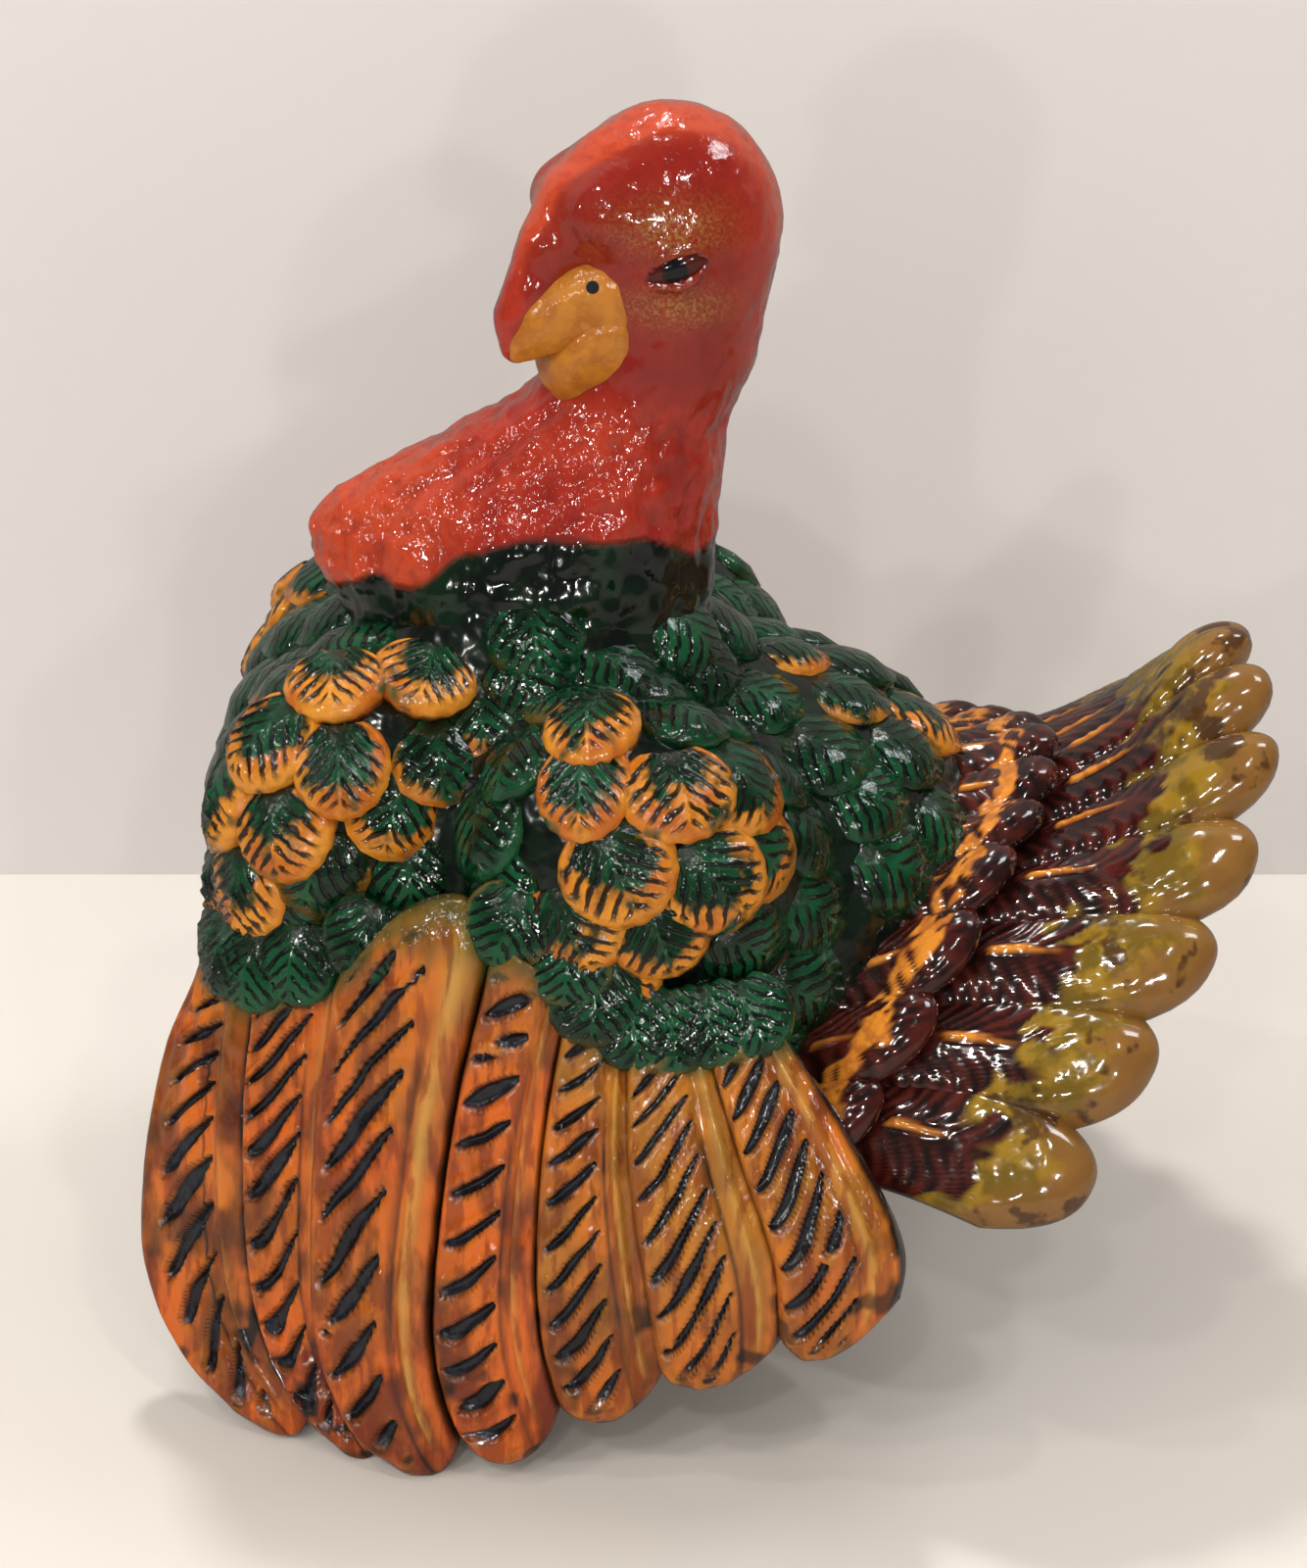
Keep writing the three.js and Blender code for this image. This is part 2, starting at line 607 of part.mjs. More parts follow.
for (let index = 0; index < tailCount; index += 1) {
  addPiece(`tail_feather_${numbered(index)}`,
    mainPiece(cutBy(tailFeather(index, 0), tailCutters)), tailGlaze);
}

// Small scales in rows round the body, as far apart as their pitch, every other row half a
// pitch further round. One that stands behind a feather or in the neck is left out
const firstScaleRow = THREE.MathUtils.degToRad(20);
const lastScaleRow = THREE.MathUtils.degToRad(150);
const scaleRowStep = THREE.MathUtils.degToRad(9.6);
const shownShare = 0.95;
const shownReach = 60;
function scaleRow(polar, stagger) {
  const ring = Array.from({ length: rowSamples }, (_, sample) => surfacePoint(bodyClay,
    new THREE.Vector3().setFromSpherical(new THREE.Spherical(1, polar, 2 * Math.PI * sample / rowSamples))
      .applyAxisAngle(vector(1, 0, 0), Math.PI / 2), 0));
  const steps = ring.map((point, sample) => point.distanceTo(ring[(sample + 1) % rowSamples]));
  const perimeter = steps.reduce((one, two) => one + two);
  const pitch = perimeter / Math.round(perimeter / bodyScalePitch);
  let walked = stagger * pitch;
  return ring.filter((_, sample) => {
    const passed = Math.floor(walked / pitch);
    walked += steps[sample];
    return Math.floor(walked / pitch) > passed;
  });
}
const neighbours = [neckSolid(seatGap), ...[...scaleSeats, ...wingBack, hemSolid(seatGap)]
  .flatMap((solid) => [solid, mirrored(solid)])];
for (let index = 0; index < tailCount; index += 1) {
  neighbours.push(covert(index, seatGap), tailFeather(index, seatGap));
}
let scaledBody = bodyOuter;
for (let row = 0; firstScaleRow + row * scaleRowStep < lastScaleRow; row += 1) {
  scaleRow(firstScaleRow + row * scaleRowStep, row % 2 / 2).forEach((place) => {
    const seat = seatOn(bodyClay, place, downSlope);
    seat.centre.addScaledVector(seat.outward, -bodyScaleRoot);
    const egg = (height) => restingEgg(seat, [bodyScaleHalfWidth, bodyScaleHalfLength, height],
      0, smallScaleColumns, smallScaleRows);
    const view = egg(shownReach);
    if (cutBy(view, neighbours).volume() > shownShare * view.volume()) {
      scaledBody = scaledBody.add(cutBy(egg(bodyScaleRise + bodyScaleRoot), neighbours));
    }
  });
}
addPiece("body_shell", mainPiece(cutBy(scaledBody, [ground, bodyHollow])), greenGlaze);

// The origin goes under the middle of the whole figure
const wholeBox = new THREE.Box3().setFromObject(figure);
figure.position.y = -(wholeBox.min.y + wholeBox.max.y) / 2;
figure.updateMatrixWorld(true);

export default figure;
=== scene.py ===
# A glazed ceramic turkey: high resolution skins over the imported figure, their glazes, a pale
# shelf and soft lamps. Forms are worked out in millimetres and stored in metres.
import functools
import math

import bmesh
import bpy
import numpy as np
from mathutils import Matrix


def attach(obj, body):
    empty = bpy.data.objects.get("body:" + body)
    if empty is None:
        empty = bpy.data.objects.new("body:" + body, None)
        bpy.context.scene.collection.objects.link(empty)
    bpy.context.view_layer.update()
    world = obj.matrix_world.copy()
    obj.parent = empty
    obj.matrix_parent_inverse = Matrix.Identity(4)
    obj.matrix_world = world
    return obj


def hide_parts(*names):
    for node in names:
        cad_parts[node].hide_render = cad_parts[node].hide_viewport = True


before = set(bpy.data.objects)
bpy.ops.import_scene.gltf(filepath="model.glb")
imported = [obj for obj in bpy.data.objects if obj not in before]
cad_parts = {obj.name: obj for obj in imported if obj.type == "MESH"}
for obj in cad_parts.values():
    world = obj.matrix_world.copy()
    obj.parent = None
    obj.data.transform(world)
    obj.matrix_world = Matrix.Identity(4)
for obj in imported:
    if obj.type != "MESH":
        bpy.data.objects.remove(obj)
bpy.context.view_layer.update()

# The camera of the photograph: from the bird's left side, a little above
CAMERA_ELEVATION = math.radians(26)
CAMERA_DISTANCE = 0.65
CAMERA_TARGET = np.array([0.0, -0.0119, 0.120])
CAMERA_LENS = 67.5

# Driving sizes of the figure in millimetres, and the turn of its head
BODY = np.array([75.0, 90.0, 165.0])
FIGURE_SHIFT = np.array([0.0, -20.515, 0.0])
WALL = 6.0
BODY_BLEND = 14.0
NECK_RISE = 78.0
NECK_HALF_WIDTH = 23.0
NECK_INTO_HEAD = 12.0
NECK_BLEND = 6.0
HEAD = np.array([23.0, 26.0, 27.5])
HEAD_CENTRE = np.array([0.0, 10.0, 243.0])
HEAD_TURN = math.radians(26)
HEAD_BLEND = 7.0
SNOOD_BLEND = 4.2
BEAK_HALF_WIDTH = 10.5
BEAK_HALF_DEPTH = 9.0
SIDES = ((1, "left"), (-1, "right"))


def smooth(low, high, value):
    """Eases from 0 at the low value to 1 at the high one, which may be the smaller number."""
    share = np.clip((value - low) / (high - low), 0, 1)
    return share * share * (3 - 2 * share)


def bell(value, width):
    return np.exp(-(value / width) ** 2)


def rounded(share):
    """Falls from 1 to 0 as a quarter of a circle does."""
    return np.sqrt(1 - np.clip(share, 0, 1) ** 2)


def length_of(vectors):
    return np.sqrt(np.maximum((vectors * vectors).sum(-1), 1e-18))


def unit(vectors):
    return vectors / length_of(vectors)[..., None]


# Noise that is the same on every run
def lattice(cells, seed):
    """A number from -1 to 1 for each whole place, its bits mixed by odd multipliers."""
    mixed = (cells[..., 0] * 374761393 + cells[..., 1] * 668265263 + cells[..., 2] * 2147483647
             + seed * 1274126177) & 0xFFFFFFFF
    mixed = ((mixed ^ (mixed >> 13)) * 1274126177) & 0xFFFFFFFF
    mixed = ((mixed ^ (mixed >> 16)) * 2246822519) & 0xFFFFFFFF
    return ((mixed ^ (mixed >> 15)) & 0xFFFF) / 32767.5 - 1


def noise(points, grain, seed=0):
    """Smooth noise from -1 to 1 whose lumps are as large as the grain."""
    scaled = points / grain
    cells = np.floor(scaled).astype(np.int64)
    way = scaled - cells
    way = way * way * (3 - 2 * way)
    total = 0
    for corner in np.ndindex(2, 2, 2):
        weight = 1
        for axis in range(3):
            weight = weight * (way[..., axis] if corner[axis] else 1 - way[..., axis])
        total = total + weight * lattice(cells + np.array(corner), seed)
    return total


def rough_noise(points, grain, seed=0, octaves=3):
    return sum(noise(points, grain / 2 ** octave, seed + octave) / 2 ** octave
               for octave in range(octaves)) / 1.6


# Clay lumps and what they blend into, as distances that are negative inside
def blended(first, second, blend):
    mix = np.clip((second - first) / blend / 2 + 0.5, 0, 1)
    return second * (1 - mix) + first * mix - blend * mix * (1 - mix)


def lump(points, centre, radii):
    offset = (points - centre) / radii
    near = length_of(offset)
    steep = length_of(offset / radii)
    return near * (near - 1) / np.maximum(steep, 1e-6)


def merged(points, lumps, middle, scale, blend):
    """The distance to lumps whose places and radii are shares of a scale."""
    distances = (lump(points, np.array(centre) * scale + middle, np.array(radii) * scale)
                 for centre, radii in lumps)
    return functools.reduce(lambda total, one: blended(total, one, blend), distances)


def rod(points, start, end, start_radius, end_radius):
    way = end - start
    share = np.clip(((points - start) @ way) / (way @ way), 0, 1)
    closest = start + share[..., None] * way
    return length_of(points - closest) - (start_radius + (end_radius - start_radius) * share)


def both_sides(lumps):
    return [((x * side, y, z), radii) for (x, y, z), radii in lumps for side, _ in SIDES]


BODY_LUMPS = [
    ((0, -0.06, 0.50), (0.94, 0.93, 0.44)),
    ((0, -0.33, 0.24), (0.98, 0.67, 0.44)),
    ((0, -0.50, 0.71), (0.64, 0.46, 0.27)),
    ((0, -0.18, 0.91), (0.48, 0.45, 0.20)),
    ((0, 0.34, 0.61), (0.72, 0.60, 0.29)),
] + both_sides([((0.66, 0.04, 0.765), (0.33, 0.38, 0.21)),
                ((0.42, -0.60, 0.77), (0.30, 0.29, 0.21))])


def body_distance(points):
    return merged(points, BODY_LUMPS, 0, BODY, BODY_BLEND)


# Rows up the neck: height, front, back, half width and how much wider it is at the nape
NECK_ROWS = np.array([
    [-0.19, -0.62, 0.22, 1.30, 0.10], [0.04, -0.67, 0.235, 1.26, 0.14],
    [0.14, -0.715, 0.245, 1.20, 0.18], [0.24, -0.71, 0.25, 1.12, 0.24],
    [0.32, -0.645, 0.255, 1.05, 0.28], [0.41, -0.49, 0.265, 0.97, 0.28],
    [0.50, -0.345, 0.27, 0.90, 0.22], [0.59, -0.21, 0.28, 0.84, 0.14],
    [0.68, -0.12, 0.30, 0.80, 0.06], [0.78, -0.09, 0.32, 0.80, 0]])


def neck_row(heights):
    rise = np.clip((heights - BODY[2]) / NECK_RISE, NECK_ROWS[0, 0], NECK_ROWS[-1, 0])
    return [np.interp(rise, NECK_ROWS[:, 0], NECK_ROWS[:, column]) for column in range(1, 5)]


def neck_distance(points):
    front, back, width, nape = neck_row(points[..., 2])
    half_length = (back - front) / 2 * BODY[1]
    along = (points[..., 1] - (back + front) / 2 * BODY[1]) / half_length
    half_width = width * NECK_HALF_WIDTH * (1 + nape * np.clip(along, -1, 1))
    ring = np.sqrt((points[..., 0] / half_width) ** 2 + along ** 2)
    top = BODY[2] + NECK_ROWS[-1, 0] * NECK_RISE + NECK_INTO_HEAD
    bottom = BODY[2] + NECK_ROWS[0, 0] * NECK_RISE
    return np.maximum((ring - 1) * np.minimum(half_length, half_width) * 0.9,
                      np.maximum(points[..., 2] - top, bottom - points[..., 2]))


HEAD_LUMPS = [
    ((0, 0.08, 0.12), (1, 0.88, 0.88)),
    ((0, 0.12, -0.42), (0.84, 0.60, 0.56)),
    ((0, 0.04, -0.84), (0.78, 0.70, 0.50)),
] + both_sides([((0.34, -0.56, 0.34), (0.36, 0.38, 0.28))])
SNOOD_PLACES = [((0, -0.10, 0.74), 5.0), ((0, -0.44, 0.58), 5.8), ((0, -0.74, 0.33), 6.3),
                ((0, -0.94, 0.05), 5.9), ((-0.04, -1.07, -0.24), 5.0),
                ((-0.08, -1.16, -0.48), 4.6), ((-0.10, -1.20, -0.68), 3.6)]


def head_place(share):
    return np.array(share) * HEAD + HEAD_CENTRE


def turned(points, angle):
    """Points turned about the upright axis of the head."""
    sine, cosine = math.sin(angle), math.cos(angle)
    x, y = points[..., 0], points[..., 1] - HEAD_CENTRE[1]
    return np.stack([x * cosine - y * sine, x * sine + y * cosine + HEAD_CENTRE[1], points[..., 2]], -1)


def skull_distance(local):
    return merged(local, HEAD_LUMPS, HEAD_CENTRE, HEAD, HEAD_BLEND)


def head_distance(points):
    local = turned(points, -HEAD_TURN)
    total = skull_distance(local)
    for (start, start_radius), (end, end_radius) in zip(SNOOD_PLACES, SNOOD_PLACES[1:]):
        one = rod(local, head_place(start), head_place(end), start_radius, end_radius)
        total = blended(total, one, SNOOD_BLEND)
    return total


def slope(distance, points, reach=0.15):
    steps = [distance(points + reach * axis) - distance(points - reach * axis) for axis in np.eye(3)]
    return np.stack(steps, -1) / (2 * reach)


def ray_ends(distance, core, ways, reach, stride=2.0):
    """The outermost places where rays from a core, no longer than the reach, leave a shape."""
    def is_deep(lengths):
        return distance(core + ways * lengths[:, None]) < 0

    near = np.full(len(ways), reach)
    searching = np.ones(len(ways), bool)
    for _ in range(int(reach / stride)):
        searching &= ~is_deep(near)
        near = np.where(searching, near - stride, near)
    far = near + stride
    for _ in range(16):
        middle = (near + far) / 2
        deep = is_deep(middle)
        near, far = np.where(deep, middle, near), np.where(deep, far, middle)
    return core + ways * near[:, None]


def settled(distance, points, rounds=4):
    """Points pulled onto the surface where the distance is zero."""
    for _ in range(rounds):
        rise = slope(distance, points)
        points = points - (distance(points) / np.maximum((rise * rise).sum(-1), 0.05))[:, None] * rise
    return points


def surface_net(distance, low, high, step):
    """A closed skin of quads round everything inside, one point for each cell it crosses."""
    low, high = np.array(low, float), np.array(high, float)
    counts = np.ceil((high - low) / step).astype(int) + 1
    xs, ys, zs = (low[axis] + step * np.arange(counts[axis]) for axis in range(3))
    values = np.stack([distance(np.stack(np.meshgrid([x], ys, zs, indexing="ij"), -1)[0]) for x in xs])
    inside = values < 0
    cells = counts - 1

    def corner(array, offset):
        return array[tuple(slice(start, start + count) for start, count in zip(offset, cells))]

    corners = list(np.ndindex(2, 2, 2))
    filled = sum(corner(inside, offset).astype(int) for offset in corners)
    crossed = (filled > 0) & (filled < 8)
    where = np.argwhere(crossed)
    number = np.full(cells, -1)
    number[crossed] = np.arange(len(where))
    total = np.zeros((len(where), 3))
    tally = np.zeros(len(where))
    for offset in corners:
        for axis in (axis for axis in range(3) if not offset[axis]):
            way = np.eye(3)[axis]
            start = corner(values, offset)[crossed]
            stop = corner(values, np.array(offset) + way.astype(int))[crossed]
            cut = (start < 0) != (stop < 0)
            share = np.where(cut, start / np.where(cut, start - stop, 1), 0)
            total += np.where(cut[:, None], np.array(offset) + share[:, None] * way, 0)
            tally += cut
    points = low + step * (where + total / tally[:, None])
    quads = []
    for axis in range(3):
        near, far = [slice(None)] * 3, [slice(None)] * 3
        near[axis], far[axis] = slice(None, -1), slice(1, None)
        changes = np.argwhere(inside[tuple(near)] != inside[tuple(far)])
        beside = [(axis + 1) % 3, (axis + 2) % 3]
        changes = changes[((changes[:, beside] > 0) & (changes[:, beside] < cells[beside])).all(1)]
        one, two = np.eye(3, dtype=int)[beside]
        ring = [changes - one - two, changes - two, changes, changes - one]
        quad = np.stack([number[tuple(place.T)] for place in ring], -1)
        inward = ~inside[tuple(changes.T)]
        quad[inward] = quad[inward][:, ::-1]
        quads.append(quad)
    return points, np.concatenate(quads).tolist()


# Curves, feather sheets and skins
def curve(places, share):
    """Places along smooth curves, which run on a little past both of their ends."""
    last = len(places) - 1
    first = np.clip(np.floor(share * last).astype(int), 0, last - 1)
    way = (share * last - first)[:, None]
    padded = np.concatenate([2 * places[:1] - places[1:2], places, 2 * places[-1:] - places[-2:-1]])
    column = np.arange(len(share)) if places.shape[1] > 1 else np.zeros(len(share), int)
    before, one, two, after = (padded[first + step, column] for step in range(4))
    late = way * way * (3 - 2 * way)
    return (one * (1 - late) + two * late + (two - before) / 2 * way * (1 - way) ** 2
            + (after - one) / 2 * way * way * (way - 1))


# Rails across the wing and the tail, from their roots to their tips, as shares of the body
WING_RAILS = np.array([
    [[0.48, -0.93, 0.60], [0.70, -0.81, 0.59], [0.92, -0.26, 0.71], [1.02, 0.04, 0.59], [1.0, 0.40, 0.60]],
    [[0.56, -1.08, 0.42], [0.79, -0.85, 0.41], [0.98, -0.36, 0.46], [1.12, 0.05, 0.45], [1.10, 0.53, 0.50]],
    [[0.70, -1.13, 0.18], [0.91, -0.83, 0.17], [1.10, -0.41, 0.19], [1.19, 0.09, 0.29], [1.22, 0.66, 0.36]],
    [[0.92, -0.94, 0.01], [1.06, -0.68, 0], [1.16, -0.33, 0], [1.16, 0.13, 0.12], [1.27, 0.62, 0.24]],
]) * BODY
TAIL_HALF_RAILS = np.array([
    [[0, 0.72, 0.72], [0.28, 0.70, 0.69], [0.54, 0.60, 0.62], [0.74, 0.38, 0.50], [0.84, 0.10, 0.35]],
    [[0, 1.10, 0.78], [0.27, 1.055, 0.745], [0.56, 0.92, 0.69], [0.84, 0.75, 0.57], [1.03, 0.54, 0.42]],
    [[0, 1.49, 0.965], [0.33, 1.54, 0.895], [0.67, 1.45, 0.735], [0.99, 1.23, 0.57], [1.26, 1.0, 0.375]],
]) * BODY
TAIL_RAILS = np.concatenate([TAIL_HALF_RAILS[:, ::-1],
                             TAIL_HALF_RAILS[:, 1:] * np.array([-1, 1, 1])], 1)


def sheet(rails, across, along):
    rows = np.stack([curve(rail[:, None, :], across) for rail in rails])
    return curve(rows, along)


def sheet_frame(rails, across, along, step=0.002):
    """The ways along a sheet and out of it."""
    sideways = unit(sheet(rails, across + step, along) - sheet(rails, across - step, along))
    lengthways = unit(sheet(rails, across, along + step) - sheet(rails, across, along - step))
    return lengthways, unit(-np.cross(sideways, lengthways))


def ring_faces(rows, count):
    """The faces of a skin of rings, with one more face over each end."""
    grid = np.arange(rows * count).reshape(rows, count)
    following = np.roll(grid, -1, 1)
    quads = np.stack([grid[:-1], grid[1:], following[1:], following[:-1]], -1).reshape(-1, 4)
    return quads.tolist() + [grid[0].tolist(), grid[-1, ::-1].tolist()]


def tube(rails, borders, span, tip, counts, heights, head=0.0):
    """A closed feather: rings that run over the top of a sheet and back under it.

    Borders and span are shares across and along the sheet; tip and head round off both ends."""
    over_count, under_count, rows = counts
    over = (1 - np.cos(np.linspace(0, np.pi, over_count))) / 2 * 0.5 + np.linspace(0, 1, over_count) * 0.5
    ring = np.concatenate([over, np.linspace(1, 0, under_count + 2)[1:-1]])
    run = 1 - (1 - np.linspace(0, 1, rows)) ** 1.35
    u, v = (grid.ravel() for grid in np.meshgrid(ring, run))
    top = np.tile(np.arange(len(ring)) < over_count, rows)
    left, right, start, stop = (np.full_like(u, share) for share in (*borders, *span))
    across = left + (borders[1] - borders[0]) * u
    corner = np.abs(2 * u - 1) ** 2.4
    begin = start + head * corner
    along = begin + (stop - tip * corner - begin) * v
    base = sheet(rails, across, along)
    outward = sheet_frame(rails, across, along)[1]
    width = length_of(sheet(rails, right, along) - sheet(rails, left, along))
    reach = length_of(sheet(rails, across, stop) - sheet(rails, across, start))
    rise, marks = heights(u, v, top, u * width, v * reach, base)
    return base + outward * rise[:, None], ring_faces(rows, len(ring)), marks


def linked(name, data):
    """A new object of the scene."""
    made = bpy.data.objects.new(name, data)
    bpy.context.scene.collection.objects.link(made)
    return made


def set_marks(mesh, marks):
    """Attributes with a number or a vector for each point."""
    for label, values in marks.items():
        values = np.asarray(values, np.float32)
        kind, key = ("FLOAT_VECTOR", "vector") if values.ndim > 1 else ("FLOAT", "value")
        mesh.attributes.new(label, kind, "POINT").data.foreach_set(key, values.ravel())


def make_object(name, points, faces, marks):
    """A welded mesh object at the origin, from millimetres, with its own attributes."""
    mesh = bpy.data.meshes.new(name)
    mesh.from_pydata((points + FIGURE_SHIFT) / 1000, [], faces, shade_flat=False)
    set_marks(mesh, marks)
    mesh.validate()
    work = bmesh.new()
    work.from_mesh(mesh)
    bmesh.ops.remove_doubles(work, verts=work.verts, dist=2e-5)
    bmesh.ops.dissolve_degenerate(work, dist=1e-6, edges=work.edges)
    if work.calc_volume(signed=True) < 0:
        bmesh.ops.reverse_faces(work, faces=work.faces)
    work.to_mesh(mesh)
    work.free()
    return linked(name, mesh)


def dress(made, glaze, slot, *nodes):
    """A piece's glaze, its body and the nodes that it stands for. The slot is not used."""
    if not made.data.materials:
        made.data.materials.append(glaze)
    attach(made, "root")
    if nodes:
        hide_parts(*nodes)


def add_glazed(node, glaze, slot, points, faces, marks):
    """The piece that stands for one node."""
    dress(make_object(node + "_glazed", points, faces, marks), glaze, slot, node)


# Node writing
class Term:
    """A number, colour, shape or shader that a node gives."""

    def __init__(self, graph, socket):
        self.graph = graph
        self.socket = socket

    def _math(self, operation, *values):
        return self.graph.node("ShaderNodeMath", {"operation": operation}, dict(enumerate(values)))

    def __add__(self, other):
        return self._math("ADD", self, other)

    __radd__ = __add__

    def __sub__(self, other):
        return self._math("SUBTRACT", self, other)

    def __rsub__(self, other):
        return self._math("SUBTRACT", other, self)

    def __mul__(self, other):
        return self._math("MULTIPLY", self, other)

    __rmul__ = __mul__


class Graph:
    """A node tree whose nodes are written as calls that give terms."""

    def __init__(self, tree):
        self.tree = tree

    def node(self, kind, settings=None, inputs=None, output=0):
        made = self.tree.nodes.new(kind)
        for key, value in (settings or {}).items():
            setattr(made, key, value)
        for key, value in (inputs or {}).items():
            if isinstance(value, Term):
                self.tree.links.new(value.socket, made.inputs[key])
            else:
                made.inputs[key].default_value = value
        return Term(self, made.outputs[output])

    def between(self, share, first, second):
        return self.node("ShaderNodeMapRange", None, {"Value": share, "To Min": first, "To Max": second})

    def end(self, term, kind):
        self.tree.links.new(term.socket, self.tree.nodes.new(kind).inputs[0])


class Finish(Graph):
    """One glaze: a material and the nodes that give its colour, gloss and relief."""

    def __init__(self, name, color, roughness=0.13, coat=0.6):
        self.color = color
        self.material = bpy.data.materials.new(name)
        self.material.use_nodes = True
        super().__init__(self.material.node_tree)
        self.tree.nodes.clear()
        self.shader = self.node("ShaderNodeBsdfPrincipled", None, {
            "Roughness": roughness, "Coat Weight": coat, "Coat Roughness": 0.04})

    def mark(self, name):
        return self.node("ShaderNodeAttribute", {"attribute_name": name}, output="Fac")

    def place(self):
        return self.node("ShaderNodeTexCoord", output="Object")

    def axis(self, which):
        return self.node("ShaderNodeSeparateXYZ", None, {0: self.place()}, which)

    def texture(self, kind, grain, stretch, settings=None, **inputs):
        where = self.node("ShaderNodeMapping", None, {"Vector": self.place(), "Scale": stretch})
        return self.node(kind, settings, {"Vector": where, "Scale": 1 / grain, **inputs})

    def noise(self, grain, detail=3, stretch=(1, 1, 1)):
        return self.texture("ShaderNodeTexNoise", grain, stretch, Detail=detail, Roughness=0.55)

    def cells(self, grain, stretch=(1, 1, 1)):
        return self.texture("ShaderNodeTexVoronoi", grain, stretch, {"feature": "F1"})

    def step(self, low, high, value):
        return self.node("ShaderNodeMapRange", {"interpolation_type": "SMOOTHSTEP"},
                         {"Value": value, "From Min": low, "From Max": high})

    def patches(self, low, high, grain, detail=3, stretch=(1, 1, 1)):
        """Noise in patches: nothing below the low value, everything above the high one."""
        return self.step(low, high, self.noise(grain, detail, stretch))

    def mix(self, share, first, second):
        first, second = ((*color, 1) if isinstance(color, tuple) else color for color in (first, second))
        return self.node("ShaderNodeMix", {"data_type": "RGBA"}, {0: share, 6: first, 7: second}, 2)

    def cover(self, share, color):
        """A colour over those that are there already, where the share is not 0."""
        self.color = self.mix(share, self.color, color)

    def finish(self, roughness=None, relief=None, depth=0.0):
        """The finished material, with a relief of a depth in metres."""
        given = {"Base Color": self.color, "Roughness": roughness}
        if relief is not None:
            given["Normal"] = self.node("ShaderNodeBump", None, {
                "Strength": 1.0, "Distance": depth, "Height": relief})
        for label, term in given.items():
            if term is not None:
                self.tree.links.new(term.socket, self.shader.socket.node.inputs[label])
        self.end(self.shader, "ShaderNodeOutputMaterial")
        return self.material


BLACK = (0.004, 0.004, 0.006)
RED = (0.31, 0.017, 0.009)
ORANGE_RED = (0.50, 0.062, 0.018)
DEEP_RED = (0.15, 0.007, 0.005)
EYE_BROWN = (0.060, 0.010, 0.006)
SPECKLE_GOLD = (0.27, 0.15, 0.03)
GREEN = (0.0015, 0.016, 0.005)
DARK_GREEN = (0.0006, 0.003, 0.002)
POOLED_GREEN = (0.003, 0.010, 0.005)
EMERALD = (0.005, 0.064, 0.023)
AMBER = (0.60, 0.235, 0.022)
BURNT_AMBER = (0.44, 0.11, 0.010)
OLD_AMBER = (0.20, 0.085, 0.008)
RUST = (0.16, 0.022, 0.004)
ORANGE = (0.56, 0.105, 0.008)
CREAM = (0.50, 0.26, 0.05)
SOOT = (0.010, 0.005, 0.003)
MOSS = (0.035, 0.055, 0.012)
SLATE = (0.010, 0.014, 0.022)
MAROON = (0.060, 0.008, 0.005)
LIGHT_MAROON = (0.095, 0.018, 0.012)
DARK_MAROON = (0.012, 0.003, 0.003)
GROOVE_BROWN = (0.006, 0.003, 0.003)
ROOT_SHADE = (0.006, 0.008, 0.005)
FLECK_BROWN = (0.040, 0.014, 0.007)
BAND_ORANGE = (0.62, 0.22, 0.022)
DARK_BAND = (0.42, 0.13, 0.02)
OLIVE = (0.13, 0.080, 0.007)
MUSTARD = (0.26, 0.15, 0.012)
TAN = (0.20, 0.090, 0.024)
OCHRE = (0.46, 0.17, 0.018)
DARK_OCHRE = (0.34, 0.105, 0.012)
DUST = (0.060, 0.048, 0.036)
BISQUE = (0.62, 0.56, 0.48)


def neck_glaze():
    glaze = Finish("neck_glaze", RED)
    glaze.cover(glaze.patches(0.35, 0.75, 0.018) * 0.40, ORANGE_RED)
    vein = glaze.patches(0.48, 0.62, 0.0050, 3, (1, 1, 0.35))
    glaze.cover(vein * 0.35 * glaze.mark("pebble"), DEEP_RED)
    # Painted light on the front of the face and neck
    glaze.cover(glaze.mark("lit_front") * 0.9, ORANGE_RED)
    glaze.cover(glaze.patches(0.50, 0.66, 0.0026) * 0.25, DEEP_RED)
    # Painted shade in the eye sockets, on the cheeks and in the creases, with a dark line round each lid
    glaze.cover(glaze.mark("shade"), DEEP_RED)
    gold = glaze.step(0.80, 0.60, glaze.cells(0.00062)) * 0.35 + glaze.patches(0.48, 0.60, 0.0007, 2)
    glaze.cover(glaze.mark("speckle") * gold * 0.6, SPECKLE_GOLD)
    glaze.cover(glaze.mark("collar"), glaze.mix(glaze.patches(0.4, 0.7, 0.012), DARK_GREEN, GREEN))
    pebbles = glaze.cells(0.0032, (1, 1, 0.7)) * 0.5 + glaze.noise(0.0042, 3, (1, 1, 0.45)) * 0.9
    pebbles = pebbles * (1 - glaze.mark("collar") * 0.8) * glaze.mark("pebble")
    return glaze.finish(None, pebbles, 0.0013)


NOSTRIL_RADIUS = 0.0012
NOSTRIL_EDGE = 0.0003


